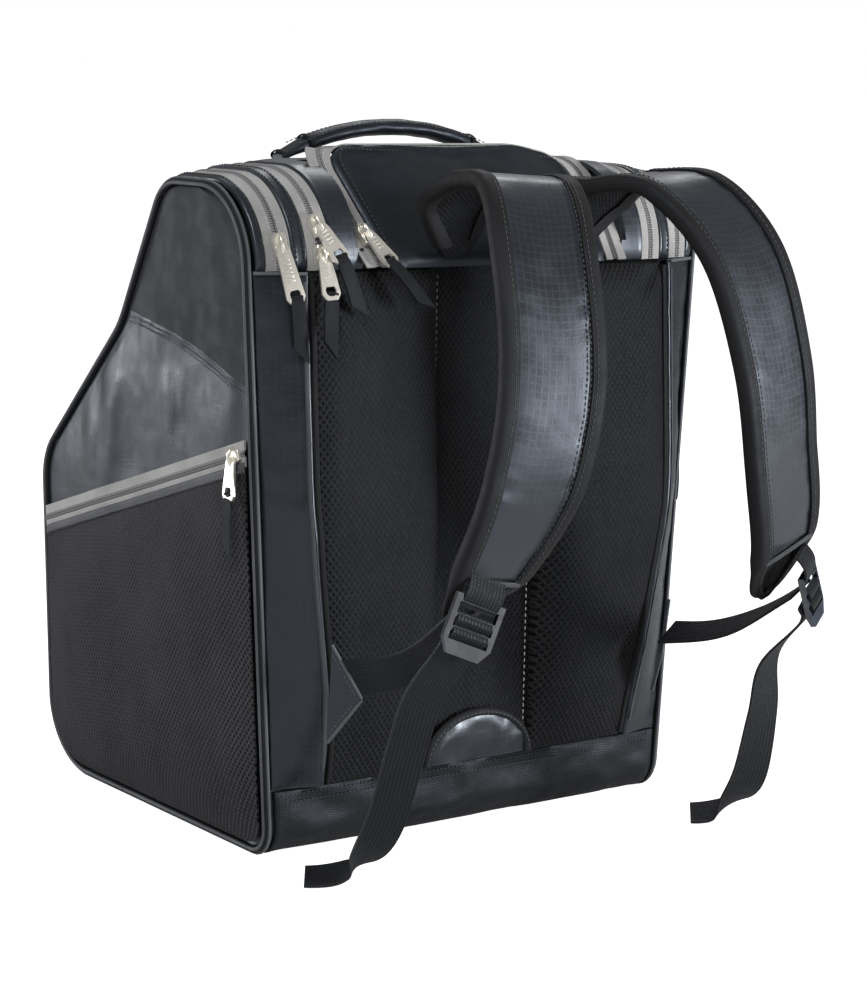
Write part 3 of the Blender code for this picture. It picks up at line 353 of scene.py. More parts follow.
def cloth(name, surface, us, vs, materials, body, nodes=(), thickness=SKIN, both=False,
          inner=None, outer=None, relief=None, roll=0.0, zone=None, face=None, skip=None, smooth=50):
    """A closed sheet on surface(u, v), with attributes that its materials read.

    It is as thick as thickness under the surface, and over it too when both is true, unless inner(u, v)
    or outer(u, v) say how far its faces are from the surface.
    "cloth" holds metres along and across the sheet, and metres to its nearest edges each way.
    relief(u, v, a, b, ea, eb, p) moves both faces out. roll turns the edges down over that distance.
    face(u, v, layer) gives the material's number.
    """
    nu, nv = len(us), len(vs)
    point = np.zeros((nu, nv, 3))
    normal = np.zeros((nu, nv, 3))
    for i, u in enumerate(us):
        for j, v in enumerate(vs):
            p, n = surface(u, v)
            point[i, j] = p
            normal[i, j] = n
    along = np.zeros((nu, nv))
    across = np.zeros((nu, nv))
    along[1:] = np.cumsum(np.linalg.norm(np.diff(point, axis=0), axis=2), axis=0)
    across[:, 1:] = np.cumsum(np.linalg.norm(np.diff(point, axis=1), axis=2), axis=1)
    to_u = np.minimum(along, along[-1:] - along)
    to_v = np.minimum(across, across[:, -1:] - across)
    across = across - across[:, -1:] / 2.0
    lift = np.zeros((nu, nv, 2))
    zones = np.zeros((nu, nv))
    for i, u in enumerate(us):
        for j, v in enumerate(vs):
            low = inner(u, v) if inner else -thickness
            high = outer(u, v) if outer else thickness if both else 0.0
            if roll:
                e = max(0.0, 1.0 - min(to_u[i, j], to_v[i, j]) / roll)
                turn = 1.0 - math.sqrt(max(0.0, 1.0 - e * e))
                high = mix(high, mix(high, low, 0.8), turn)
            r = 0.0
            if relief:
                r = relief(u, v, along[i, j], across[i, j], to_u[i, j], to_v[i, j], point[i, j])
            lift[i, j] = (high + r, low + r)
            if zone:
                zones[i, j] = zone(u, v, point[i, j])
    layers = [point + normal * lift[:, :, k:k + 1] for k in (0, 1)]
    co = np.concatenate([layer.reshape(-1, 3) for layer in layers])
    size = nu * nv

    def kept(i, j):
        return 0 <= i < nu - 1 and 0 <= j < nv - 1 and not (skip and skip(us[i], vs[j]))

    faces, numbers = [], []
    for i in range(nu - 1):
        for j in range(nv - 1):
            if not kept(i, j):
                continue
            ring = [i * nv + j, (i + 1) * nv + j, (i + 1) * nv + j + 1, i * nv + j + 1]
            faces.append(ring)
            faces.append([r + size for r in reversed(ring)])
            um, vm = (us[i] + us[i + 1]) / 2.0, (vs[j] + vs[j + 1]) / 2.0
            numbers += [face(um, vm, 0), face(um, vm, 1)] if face else [0, 0]
            for k, cell in enumerate(((i, j - 1), (i + 1, j), (i, j + 1), (i - 1, j))):
                if not kept(*cell):
                    a, b = ring[k], ring[(k + 1) % 4]
                    faces.append([b, a, a + size, b + size])
                    numbers.append(face(um, vm, 2) if face else 0)
    used = sorted({v for f in faces for v in f})
    renumber = {v: n for n, v in enumerate(used)}
    faces = [[renumber[v] for v in f] for f in faces]
    data = np.stack([along, across, np.minimum(to_u, to_v)], axis=2).reshape(-1, 3)
    data = np.concatenate([data, data])[used]
    edges = np.stack([to_u, to_v, zones], axis=2).reshape(-1, 3)
    edges = np.concatenate([edges, edges])[used]
    mesh = closed_mesh(name, co[used].tolist(), faces, data, edges, numbers)
    return put(name, mesh, materials, body, nodes, smooth)


def sweep(name, centres, frames, ring, materials, body, nodes=(), closed=False, smooth=40):
    """A tube: ring(i) gives (x, y) offsets on frames[i], a pair of unit vectors."""
    co, along, run = [], [], 0.0
    loops = []
    for i, centre in enumerate(centres):
        if i:
            run += (Vector(centre) - Vector(centres[i - 1])).length
        wide, high = frames[i]
        loops.append(range(len(co), len(co) + len(ring(i))))
        turned = 0.0
        section = ring(i)
        for k, (x, y) in enumerate(section):
            if k:
                turned += math.dist(section[k], section[k - 1])
            co.append(Vector(centre) + Vector(wide) * x + Vector(high) * y)
            along.append((run, turned, 0.01))
    pairs = list(zip(loops, loops[1:])) + ([(loops[-1], loops[0])] if closed else [])
    faces = []
    for first, second in pairs:
        for k in range(len(first)):
            m = (k + 1) % len(first)
            faces.append((first[k], first[m], second[m], second[k]))
    if not closed:
        faces += [tuple(loops[0]), tuple(reversed(loops[-1]))]
    values = np.array(along)
    mesh = closed_mesh(name, co, faces, values, values)
    return put(name, mesh, materials, body, nodes, smooth)


def disc(radius, count=10, flat=1.0):
    return [(radius * math.cos(math.tau * k / count), radius * flat * math.sin(math.tau * k / count))
            for k in range(count)]


def thread_line(name, line, body, material, lift=0.0, **style):
    """Stitches along (point, normal) pairs, raised by lift metres."""
    stitch_line(name, [p + n * lift for p, n in line], [n for p, n in line], body, material, **style)


def strand(name, points, normals, radius, material, body="bag", slot="coated_ripstop", flat=1.0, count=8):
    """A round or flattened strand along a line on a surface."""
    return sweep(name, points, line_frames(points, normals), lambda i: disc(radius, count, flat), material,
                 body, ())


def line_frames(points, normals):
    """Width and normal directions along a line on a surface."""
    out = []
    for i in range(len(points)):
        a, b = points[max(i - 1, 0)], points[min(i + 1, len(points) - 1)]
        way = (b - a).normalized()
        n = Vector(normals[i])
        n = (n - way * way.dot(n)).normalized()
        out.append((way.cross(n), n))
    return out


def resample(points, normals, step):
    """Points about step apart on the same line."""
    p = np.array([tuple(v) for v in points])
    n = np.array([tuple(v) for v in normals])
    run = np.concatenate(([0.0], np.cumsum(np.linalg.norm(np.diff(p, axis=0), axis=1))))
    at = np.linspace(0.0, run[-1], max(2, int(run[-1] / step) + 1))
    q = [Vector(v) for v in np.stack([np.interp(at, run, p[:, k]) for k in range(3)], axis=1)]
    m = [Vector(v).normalized() for v in np.stack([np.interp(at, run, n[:, k]) for k in range(3)], axis=1)]
    return q, m


def stitch_line(name, points, normals, body, material, pitch=3.4, length=2.5, radius=0.42, lift=0.25):
    """A row of sewn stitches, in millimetres, as one mesh that rides on a body."""
    q, m = resample(points, normals, pitch * MM)
    co, faces = [], []
    for i in range(len(q) - 1):
        way = (q[i + 1] - q[i]).normalized()
        across = way.cross(m[i]).normalized()
        start = q[i] + m[i] * (lift * MM)
        for f, h, r in ((0.0, -0.3, 0.5), (0.25, 0.25, 1.0), (0.75, 0.25, 1.0), (1.0, -0.3, 0.5)):
            c = start + way * (f * length * MM) + m[i] * (h * radius * MM)
            for k in range(6):
                angle = math.tau * k / 6
                co.append(c + (across * math.cos(angle) + m[i] * math.sin(angle)) * (r * radius * MM))
        base = len(co) - 24
        for ring in range(3):
            for k in range(6):
                a, b = base + ring * 6 + k, base + ring * 6 + (k + 1) % 6
                faces.append((a, b, b + 6, a + 6))
        faces.append(tuple(base + k for k in reversed(range(6))))
        faces.append(tuple(base + 18 + k for k in range(6)))
    mesh = bpy.data.meshes.new(name)
    mesh.from_pydata([tuple(c) for c in co], [], faces)
    return put(name, mesh, material, body, smooth=0)


def inflate(obj, pressure, cap, pinned=None, stiffness=15.0, steps=20):
    """Blows a closed cloth piece up and keeps each point within cap of where it was."""
    rest = np.array([v.co for v in obj.data.vertices])
    modifier = obj.modifiers.new("Cloth", "CLOTH")
    settings = modifier.settings
    settings.quality = 5
    settings.use_pressure = True
    settings.uniform_pressure_force = pressure
    settings.tension_stiffness = stiffness
    settings.compression_stiffness = stiffness
    settings.bending_stiffness = 0.5
    settings.effector_weights.gravity = 0.0
    modifier.collision_settings.use_collision = False
    modifier.point_cache.frame_start = 1
    modifier.point_cache.frame_end = steps
    if pinned is not None:
        group = obj.vertex_groups.new(name="sewn")
        for weight in sorted(set(pinned)):
            chosen = [i for i, w in enumerate(pinned) if w == weight]
            group.add(chosen, weight, "REPLACE")
        settings.vertex_group_mass = "sewn"
    scene = bpy.context.scene
    for number in range(1, steps + 1):
        scene.frame_set(number)
    evaluated = obj.evaluated_get(bpy.context.evaluated_depsgraph_get())
    blown = np.array([v.co for v in evaluated.data.vertices])
    obj.modifiers.remove(modifier)
    move = blown - rest
    size = np.linalg.norm(move, axis=1, keepdims=True)
    move *= np.minimum(1.0, cap / np.maximum(size, 1e-9))
    obj.data.vertices.foreach_set("co", (rest + move).ravel())
    obj.data.update()
    scene.frame_set(1)


def smooth_more(obj, levels=1):
    modifier = obj.modifiers.new("Subdivision", "SUBSURF")
    modifier.levels = levels
    modifier.render_levels = levels
    return obj


# ---------------------------------------------------------------- materials
COOL_SHINE = (0.74, 0.84, 1.0)


class Shade:
    """One procedural material, built node by node."""

    def __init__(self, name, roughness=0.6, metallic=0.0, sheen=0.0, sheen_tint=(0.5, 0.5, 0.55),
                 sheen_roughness=0.4, coat=0.0, coat_roughness=0.3, specular=0.5):
        self.material = bpy.data.materials.new(name)
        self.material.use_nodes = True
        self.tree = self.material.node_tree
        self.shader = self.tree.nodes["Principled BSDF"]
        put_in = self.shader.inputs
        put_in["Roughness"].default_value = roughness
        put_in["Metallic"].default_value = metallic
        put_in["Sheen Weight"].default_value = sheen
        put_in["Sheen Tint"].default_value = (*sheen_tint, 1.0)
        put_in["Sheen Roughness"].default_value = sheen_roughness
        put_in["Coat Weight"].default_value = coat
        put_in["Coat Roughness"].default_value = coat_roughness
        put_in["Specular IOR Level"].default_value = specular
        put_in["Specular Tint"].default_value = (*COOL_SHINE, 1.0)
        self.attributes = {}

    def plug(self, socket, value):
        if isinstance(value, bpy.types.NodeSocket):
            self.tree.links.new(value, socket)
        else:
            socket.default_value = value

    def math(self, operation, a, b=0.0, c=0.0):
        node = self.tree.nodes.new("ShaderNodeMath")
        node.operation = operation
        for socket, value in zip(node.inputs, (a, b, c)):
            self.plug(socket, value)
        return node.outputs[0]

    def fit(self, value, low, high, to_low=0.0, to_high=1.0):
        node = self.tree.nodes.new("ShaderNodeMapRange")
        node.interpolation_type = "SMOOTHSTEP"
        for key, v in (("Value", value), ("From Min", low), ("From Max", high),
                       ("To Min", to_low), ("To Max", to_high)):
            self.plug(node.inputs[key], v)
        return node.outputs["Result"]

    def read(self, label, part):
        if label not in self.attributes:
            node = self.tree.nodes.new("ShaderNodeAttribute")
            node.attribute_name = label
            split = self.tree.nodes.new("ShaderNodeSeparateXYZ")
            self.tree.links.new(node.outputs["Vector"], split.inputs[0])
            self.attributes[label] = (node, split)
        return self.attributes[label][1].outputs[part]

    def place(self):
        if "place" not in self.attributes:
            self.attributes["place"] = self.tree.nodes.new("ShaderNodeTexCoord")
        return self.attributes["place"].outputs["Object"]

    def noise(self, scale, detail=2.0, vector=None, rough=0.5):
        node = self.tree.nodes.new("ShaderNodeTexNoise")
        node.inputs["Scale"].default_value = scale
        node.inputs["Detail"].default_value = detail
        node.inputs["Roughness"].default_value = rough
        self.tree.links.new(vector or self.place(), node.inputs["Vector"])
        return node.outputs["Fac"]

    def stretched(self, scale):
        node = self.tree.nodes.new("ShaderNodeMapping")
        node.inputs["Scale"].default_value = scale
        self.tree.links.new(self.place(), node.inputs["Vector"])
        return node.outputs[0]

    def blend(self, factor, a, b):
        node = self.tree.nodes.new("ShaderNodeMix")
        node.data_type = "RGBA"
        self.plug(node.inputs[0], factor)
        self.plug(node.inputs[6], (*a, 1.0) if isinstance(a, tuple) else a)
        self.plug(node.inputs[7], (*b, 1.0) if isinstance(b, tuple) else b)
        return node.outputs[2]

    def lay(self, tone, mask, amount, colour):
        """Puts a colour over a tone where the mask is, at that strength."""
        return self.blend(self.math("MULTIPLY", mask, amount), tone, colour)

    def cloth_grain(self, noise_value, smoother, rougher, roughness):
        return self.math("ADD", self.fit(noise_value, 0.3, 0.7, smoother, rougher), roughness)

    def line(self, value, period, width):
        """One on lines a period apart, fading to nothing at width from them."""
        near = self.math("PINGPONG", value, period / 2.0)
        return self.fit(near, width, width * 0.35)

    def wave(self, value, period):
        turned = self.math("MULTIPLY", value, math.tau / period)
        return self.math("MULTIPLY_ADD", self.math("SINE", turned), 0.5, 0.5)

    def total(self, *pairs):
        """Sum of value times weight."""
        result = None
        for value, weight in pairs:
            result = self.math("MULTIPLY_ADD", value, weight, 0.0 if result is None else result)
        return result

    def finish(self, colour=None, roughness=None, height=None, strength=1.0):
        if colour is not None:
            self.plug(self.shader.inputs["Base Color"],
                      (*colour, 1.0) if isinstance(colour, tuple) else colour)
        if roughness is not None:
            self.plug(self.shader.inputs["Roughness"], roughness)
        if height is not None:
            bump = self.tree.nodes.new("ShaderNodeBump")
            bump.inputs["Strength"].default_value = strength
            bump.inputs["Distance"].default_value = 1.0
            self.tree.links.new(height, bump.inputs["Height"])
            self.tree.links.new(bump.outputs["Normal"], self.shader.inputs["Normal"])
        return self.material


def tint(colour, factor):
    return tuple(c * factor for c in colour)


def ripstop(name, colour, roughness, period=0.0046, crinkle=0.00035, grid=0.00007, shine=0.0, sheen=0.0,
            lift=1.35, edge_glint_gain=1.25, specular=0.45):
    """Woven cloth with a reinforcing grid, soft creases and painted highlight flecks along its edges."""
    s = Shade(name, coat=shine, coat_roughness=0.30, sheen=sheen, specular=specular)
    a, b, edge = (s.read("cloth", k) for k in range(3))
    lines = s.math("MAXIMUM", s.line(a, period, 0.0007), s.line(b, period, 0.0007))
    broad, small = s.noise(14.0, 3.0), s.noise(70.0, 3.0)
    weave = s.math("MULTIPLY", s.wave(a, 0.0011), s.wave(b, 0.0011))
    tone = s.blend(s.fit(broad, 0.35, 0.65), tint(colour, 0.86), tint(colour, 1.14))
    tone = s.lay(tone, lines, 0.6, tint(colour, lift))
    tone = s.lay(tone, weave, 0.18, tint(colour, 1.7))
    # painted highlight: irregular lighter flecks near the cloth's edges and seams, where puckered coated
    # cloth catches the light
    edge_glint = s.math("MULTIPLY", s.fit(edge, 0.0022, 0.0004), s.fit(small, 0.42, 0.6))
    tone = s.lay(tone, edge_glint, 0.5, tint(colour, edge_glint_gain * 1.6))
    rough = s.total((s.fit(small, 0.3, 0.7, -0.05, 0.07), 1.0), (lines, 0.06))
    rough = s.math("ADD", rough, roughness)
    height = s.total((lines, grid), (weave, 0.000012), (small, crinkle), (broad, crinkle * 9.0))
    return s.finish(tone, rough, height)


def two_tone(name, upper, lower):
    """Side panel: matt cloth above the curved seam, coated cloth below it.

    The third part of "edges" is the height over the seam.
    """
    s = Shade(name, specular=0.45)
    a, b = (s.read("cloth", k) for k in range(2))
    above = s.fit(s.read("edges", 2), -0.0002, 0.0002)
    lines = s.math("MAXIMUM", s.line(a, 0.0046, 0.0006), s.line(b, 0.0046, 0.0006))
    broad, small = s.noise(14.0, 3.0), s.noise(80.0, 3.0)
    weave = s.math("MULTIPLY", s.wave(a, 0.0012), s.wave(b, 0.0012))
    dark = s.blend(s.math("MULTIPLY", lines, 0.5), tint(upper, 0.9), tint(upper, 1.5))
    dark = s.lay(dark, weave, 0.35, tint(upper, 1.6))
    light = s.blend(s.fit(broad, 0.35, 0.65), tint(lower, 0.85), tint(lower, 1.15))
    light = s.lay(light, lines, 0.6, tint(lower, 1.5))
    tone = s.blend(above, light, dark)
    seam = s.fit(s.math("ABSOLUTE", s.read("edges", 2)), 0.0006, 0.0001)
    tone = s.lay(tone, seam, 0.8, tint(upper, 0.3))
    rough = s.math("ADD", s.fit(small, 0.3, 0.7, -0.04, 0.06), s.math("MULTIPLY_ADD", above, 0.34, 0.36))
    height = s.total((lines, 0.000015), (weave, 0.000012), (small, 0.00015), (broad, 0.0022))
    return s.finish(tone, rough, height)


def diamond_mesh(name, yarn, painted_hole_shade, wide=0.0042, tall=0.0058, deep=0.0006, roughness=0.62, open_at=0.2):
    """Knitted mesh with diamond holes, painted near-black as the shade inside them."""
    s = Shade(name, roughness=roughness, sheen=0.02, specular=0.16)
    a, b = (s.read("cloth", k) for k in range(2))
    wobble = s.math("MULTIPLY", s.noise(160.0, 1.0), 0.0009)
    p = s.math("ADD", s.math("MULTIPLY_ADD", b, 1.0 / wide, 0.0), s.math("MULTIPLY_ADD", a, 1.0 / tall, 0.0))
    q = s.math("SUBTRACT", s.math("MULTIPLY", b, 1.0 / wide), s.math("MULTIPLY", a, 1.0 / tall))
    p = s.math("ADD", p, s.math("MULTIPLY", wobble, 90.0))
    near = s.math("MINIMUM", s.math("PINGPONG", p, 0.5), s.math("PINGPONG", q, 0.5))
    strand = s.fit(near, open_at + 0.07, open_at - 0.07)
    cord = s.fit(near, open_at, 0.0)
    broad, small = s.noise(18.0, 2.0), s.noise(420.0, 2.0)
    lit = s.blend(s.fit(broad, 0.3, 0.7), tint(yarn, 0.75), tint(yarn, 1.2))
    lit = s.lay(lit, s.fit(small, 0.4, 0.65), 0.5, tint(yarn, 1.8))
    # painted shade: the holes between the strands take the near-black hole colour
    tone = s.blend(strand, painted_hole_shade, lit)
    height = s.total((cord, deep), (small, 0.00008), (broad, 0.0008))
    return s.finish(tone, None, height)


def plain_weave(name, colour, roughness=0.7, rib=0.0016, crinkle=0.0004, sheen=0.02, specular=0.22):
    s = Shade(name, sheen=sheen, specular=specular)
    a, b = (s.read("cloth", k) for k in range(2))
    weave = s.math("MULTIPLY", s.wave(a, rib), s.wave(b, rib))
    broad, small = s.noise(16.0, 3.0), s.noise(110.0, 3.0)
    tone = s.blend(s.fit(broad, 0.3, 0.7), tint(colour, 0.8), tint(colour, 1.25))
    tone = s.lay(tone, weave, 0.5, tint(colour, 2.0))
    rough = s.cloth_grain(small, -0.06, 0.06, roughness)
    height = s.total((weave, 0.00012), (small, crinkle), (broad, crinkle * 3.0))
    return s.finish(tone, rough, height)


def ribbed_webbing(name, colour, roughness=0.55):
    """Flat nylon webbing: ribs along it, crossed by fine picks, with a smoother selvedge."""
    s = Shade(name, sheen=0.03, specular=0.25)
    a, b, edge = (s.read("cloth", k) for k in range(3))
    shift = s.math("MULTIPLY", s.math("PINGPONG", a, 0.0011), 0.8)
    ribs = s.wave(s.math("ADD", b, shift), 0.0024)
    picks = s.wave(a, 0.0013)
    side = s.fit(edge, 0.0018, 0.0006)
    small = s.noise(260.0, 2.0)
    tone = s.blend(s.math("MULTIPLY", ribs, 0.6), tint(colour, 0.6), tint(colour, 1.5))
    tone = s.lay(tone, side, 0.4, tint(colour, 1.8))
    rough = s.cloth_grain(small, -0.06, 0.08, roughness)
    height = s.total((ribs, 0.00022), (picks, 0.00010), (small, 0.00012), (side, 0.00015))
    return s.finish(tone, rough, height)


def zipper(name, tape, coil, coil_half=0.0021):
    """Woven tape with lengthwise ribs, rows of sewing, and a nylon coil down the middle."""
    s = Shade(name, roughness=0.6, sheen=0.04, specular=0.3)
    a, b = (s.read("cloth", k) for k in range(2))
    away = s.math("ABSOLUTE", b)
    chain = s.fit(away, coil_half, coil_half - 0.0003)
    teeth = s.wave(a, 0.0017)
    parting = s.fit(away, 0.00045, 0.00012)
    rib = s.math("MULTIPLY", s.wave(b, 0.0012), s.wave(a, 0.0010))
    from_row = s.math("ABSOLUTE", s.math("SUBTRACT", away, coil_half + 0.0009))
    sewn = s.math("MULTIPLY", s.fit(from_row, 0.0005, 0.0002), s.fit(s.wave(a, 0.0034), 0.35, 0.55))
    broad = s.noise(30.0, 2.0)
    cloth_tone = s.blend(s.fit(broad, 0.3, 0.7), tint(tape, 0.85), tint(tape, 1.12))
    cloth_tone = s.lay(cloth_tone, rib, 0.35, tint(tape, 0.6))
    cloth_tone = s.lay(cloth_tone, sewn, 0.6, tint(tape, 1.45))
    chain_tone = s.blend(teeth, tint(coil, 0.35), tint(coil, 1.15))
    chain_tone = s.blend(parting, chain_tone, tint(coil, 0.25))
    tone = s.blend(chain, cloth_tone, chain_tone)
    rough = s.fit(chain, 0.0, 1.0, 0.66, 0.42)
    height = s.total((rib, 0.00006), (sewn, 0.0002), (s.math("MULTIPLY", teeth, chain), 0.0005),
                     (parting, -0.0004))
    return s.finish(tone, rough, height)


def satin_metal(name, colour, roughness, scratch=0.00002, grain=900.0, dirt=0.5, metallic=1.0):
    s = Shade(name, metallic=metallic)
    fine_grain = s.noise(grain, 2.0)
    broad = s.noise(120.0, 3.0)
    drawn = s.noise(1.0, 2.0, s.stretched((1500.0, 1500.0, 120.0)))
    tone = s.blend(s.fit(broad, 0.35, 0.7), tint(colour, dirt), colour)
    rough = s.cloth_grain(fine_grain, -0.01, 0.02, roughness)
    height = s.total((drawn, scratch), (broad, scratch * 20.0))
    return s.finish(tone, rough, height)


def moulded(name, colour, roughness=0.5):
    s = Shade(name, specular=0.2)
    small, broad = s.noise(700.0, 2.0), s.noise(60.0, 2.0)
    edge = s.read("cloth", 2)
    border = s.fit(s.math("ABSOLUTE", s.math("SUBTRACT", edge, 0.0012)), 0.0004, 0.0001)
    tone = s.blend(s.fit(broad, 0.3, 0.7), tint(colour, 0.8), tint(colour, 1.2))
    tone = s.lay(tone, border, 0.35, tint(colour, 1.7))
    rough = s.cloth_grain(small, -0.05, 0.08, roughness)
    height = s.total((small, 0.00008), (broad, 0.0002), (border, -0.0001))
    return s.finish(tone, rough, height)


def thread(name, colour):
    s = Shade(name, roughness=0.55, sheen=0.2)
    twist = s.noise(1800.0, 1.0)
    tone = s.blend(twist, tint(colour, 0.6), tint(colour, 1.2))
    return s.finish(tone, None, s.total((twist, 0.00015)))


SLATE = (0.0135, 0.0158, 0.0195)
M_COATED = ripstop("coated slate ripstop", SLATE, 0.33, crinkle=0.00017, grid=0.00001, lift=1.5,
                   shine=0.20, specular=0.6)
M_SMOOTH = ripstop("smooth coated cloth", tint(SLATE, 0.62), 0.42, crinkle=0.00018, grid=0.00001, lift=1.12)
M_GUSSET = ripstop("gusset cloth", tint(SLATE, 0.72), 0.31, crinkle=0.00026, grid=0.000012, lift=1.3,
                   shine=0.25)
M_SIDE = two_tone("side panel cloth", (0.0150, 0.0144, 0.0148), tint(SLATE, 1.10))
# the second colour given to each mesh is painted shade for its holes
M_PAD_MESH = diamond_mesh("spacer mesh", (0.0140, 0.0138, 0.0138), (0.0016, 0.0016, 0.0016))
M_POCKET_MESH = diamond_mesh("pocket mesh", (0.0330, 0.0322, 0.0340), (0.0025, 0.0025, 0.0027),
                             0.0040, 0.0056)
M_STRAP_MESH = diamond_mesh("strap mesh", (0.0120, 0.0120, 0.0120), (0.0014, 0.0014, 0.0014), 0.0034, 0.0044)
M_BASE = plain_weave("base cloth", (0.0065, 0.0065, 0.0072), 0.50, specular=0.25)
M_BINDING = plain_weave("binding", (0.0095, 0.0088, 0.0086), 0.60, 0.0013, 0.0002)
M_GREY_BINDING = plain_weave("grey binding", (0.0700, 0.0710, 0.0760), 0.55, 0.0013, 0.0002)
M_LINING = plain_weave("lining", (0.0700, 0.0720, 0.0760), 0.75, 0.0020)
M_WEBBING = ribbed_webbing("webbing", (0.0110, 0.0110, 0.0114))
M_TAPE = zipper("zipper tape", (0.330, 0.325, 0.320), (0.240, 0.238, 0.238))
M_PIPING = plain_weave("piping cloth", (0.0720, 0.0760, 0.0820), 0.40, 0.0012, 0.0001)
# painted highlights: lighter strands on folded cloth edges stand in for the sheen where the dark coated cloth
# turns over
M_FOLD_HIGHLIGHT = plain_weave("painted highlight on folded edge", (0.085, 0.088, 0.094), 0.45, 0.0012, 0.0002)
M_DIM_FOLD_HIGHLIGHT = plain_weave("folded edge", (0.0450, 0.0470, 0.0510), 0.45, 0.0012, 0.0002)
M_NICKEL = satin_metal("nickel", (0.95, 0.91, 0.82), 0.34, scratch=0.0000001, dirt=0.93, metallic=0.85)
M_GUNMETAL = satin_metal("gunmetal", (0.140, 0.143, 0.152), 0.13, scratch=0.0000003, dirt=0.75)
M_TUG = moulded("pull tug", (0.0095, 0.0095, 0.0100), 0.62)
M_THREAD_DARK = thread("dark thread", (0.030, 0.030, 0.032))
M_THREAD_GREY_DIM = thread("dim thread", (0.055, 0.055, 0.058))
M_THREAD_GREY = thread("grey thread", (0.110, 0.112, 0.118))
M_THREAD_WHITE = thread("white thread", (0.420, 0.420, 0.430))


# ---------------------------------------------------------------- camera, light and floor
CAMERA_TURN = math.radians(-36.08)
CAMERA_RISE = math.radians(9.43)
CAMERA_ROLL = math.radians(1.158)
CAMERA_DISTANCE = 1.9216
CAMERA_TARGET = Vector((0.0733, 0.0050, 0.1943))
CAMERA_LENS = 95.0
WORLD_LIGHT = 0.20
STUDIO = (                    # name, place, size and power of each softbox
    ("key", (-1.7, -1.2, 2.0), (1.1, 1.1), 46.0),
    ("back right", (1.25, -1.95, 0.38), (0.40, 1.0), 58.0),
    ("front left", (-1.45, 1.9, 0.45), (0.35, 1.0), 20.0),
    ("rim", (1.1, 1.2, 1.9), (1.0, 0.8), 9.0),
)


def make_camera():
    data = bpy.data.cameras.new("camera")
    data.lens = CAMERA_LENS
    data.sensor_fit = "VERTICAL"
    data.sensor_height = 36.0
    data.clip_end = 50.0
    back = Vector((math.sin(CAMERA_TURN) * math.cos(CAMERA_RISE),
                   -math.cos(CAMERA_TURN) * math.cos(CAMERA_RISE), math.sin(CAMERA_RISE)))
    right = (-back).cross(Vector((0.0, 0.0, 1.0))).normalized()
    up = right.cross(-back)
    turned = right * math.cos(CAMERA_ROLL) + up * math.sin(CAMERA_ROLL)
    up = up * math.cos(CAMERA_ROLL) - right * math.sin(CAMERA_ROLL)
    camera = bpy.data.objects.new("camera", data)
    camera.matrix_world = Matrix((turned, up, back)).transposed().to_4x4()
    camera.location = CAMERA_TARGET + back * CAMERA_DISTANCE
    bpy.context.scene.collection.objects.link(camera)
    bpy.context.scene.camera = camera


def area_light(name, place, aim, size, power, colour=(1.0, 1.0, 1.0)):
    data = bpy.data.lights.new(name, "AREA")
    data.shape = "RECTANGLE"
    data.size, data.size_y = size
    data.energy = power
    data.color = colour
    light = bpy.data.objects.new(name, data)
    light.location = place
    light.rotation_euler = (Vector(aim) - Vector(place)).to_track_quat("-Z", "Y").to_euler()
    bpy.context.scene.collection.objects.link(light)


def make_studio():
    scene = bpy.context.scene
    scene.view_settings.view_transform = "Standard"
    world = bpy.data.worlds.new("studio")
    world.use_nodes = True
    tree = world.node_tree
    seen = tree.nodes["Background"]
    seen.inputs[1].default_value = 1.0
    seen.inputs[0].default_value = (1.0, 1.0, 1.0, 1.0)
    dim = tree.nodes.new("ShaderNodeBackground")
    dim.inputs[0].default_value = (1.0, 1.0, 1.0, 1.0)
    dim.inputs[1].default_value = WORLD_LIGHT
    either = tree.nodes.new("ShaderNodeMixShader")
    path = tree.nodes.new("ShaderNodeLightPath")
    tree.links.new(path.outputs["Is Camera Ray"], either.inputs[0])
    tree.links.new(dim.outputs[0], either.inputs[1])
    tree.links.new(seen.outputs[0], either.inputs[2])
    tree.links.new(either.outputs[0], tree.nodes["World Output"].inputs[0])
    scene.world = world
    for name, place, size, power in STUDIO:
        area_light(name, place, (0.0, -0.05, 0.22), size, power)
    mesh = bpy.data.meshes.new("floor")
    reach = 40.0
    mesh.from_pydata([(-reach, -reach, 0), (reach, -reach, 0), (reach, reach, 0), (-reach, reach, 0)], [],
                     [(0, 1, 2, 3)])
    floor = bpy.data.objects.new("floor", mesh)
    shade = Shade("floor", roughness=0.9, specular=0.1)
    seen = shade.tree.nodes.new("ShaderNodeLightPath").outputs["Is Camera Ray"]
    shade.plug(shade.shader.inputs["Emission Color"], (1.0, 1.0, 1.0, 1.0))
    shade.plug(shade.shader.inputs["Emission Strength"], shade.math("MULTIPLY", seen, 0.96))
    floor.data.materials.append(shade.finish((0.70, 0.70, 0.70)))
    bpy.context.scene.collection.objects.link(floor)
    floor.location.z = -0.0004


# ---------------------------------------------------------------- shell of the bag
HEM_HEIGHT = 0.0007
HEM_ROLL = 0.0012             # distance over which a cloth's edge turns down


def soft(p, seed=0.0, size=1.0):
    """The slow swell of unstiffened cloth, in metres."""
    return size * (0.0012 * crumple(p, 9.0, seed, 2) + 0.0004 * crumple(p, 42.0, seed + 3.0, 2))


def fade(distance, reach):
    return ease(distance / reach)


def hem(distance, reach=0.003):
    """Extra height of the doubled cloth along a sewn edge."""
    return HEM_HEIGHT * (1.0 - fade(distance, reach))


def seam_pucker(run, distance, seed=0.0, size=0.0006, pitch=70.0):
    """Small gathers that die out away from a seam."""
    return size * noise.noise(Vector((run * pitch, seed, 0.0))) * math.exp(-distance / 0.010)


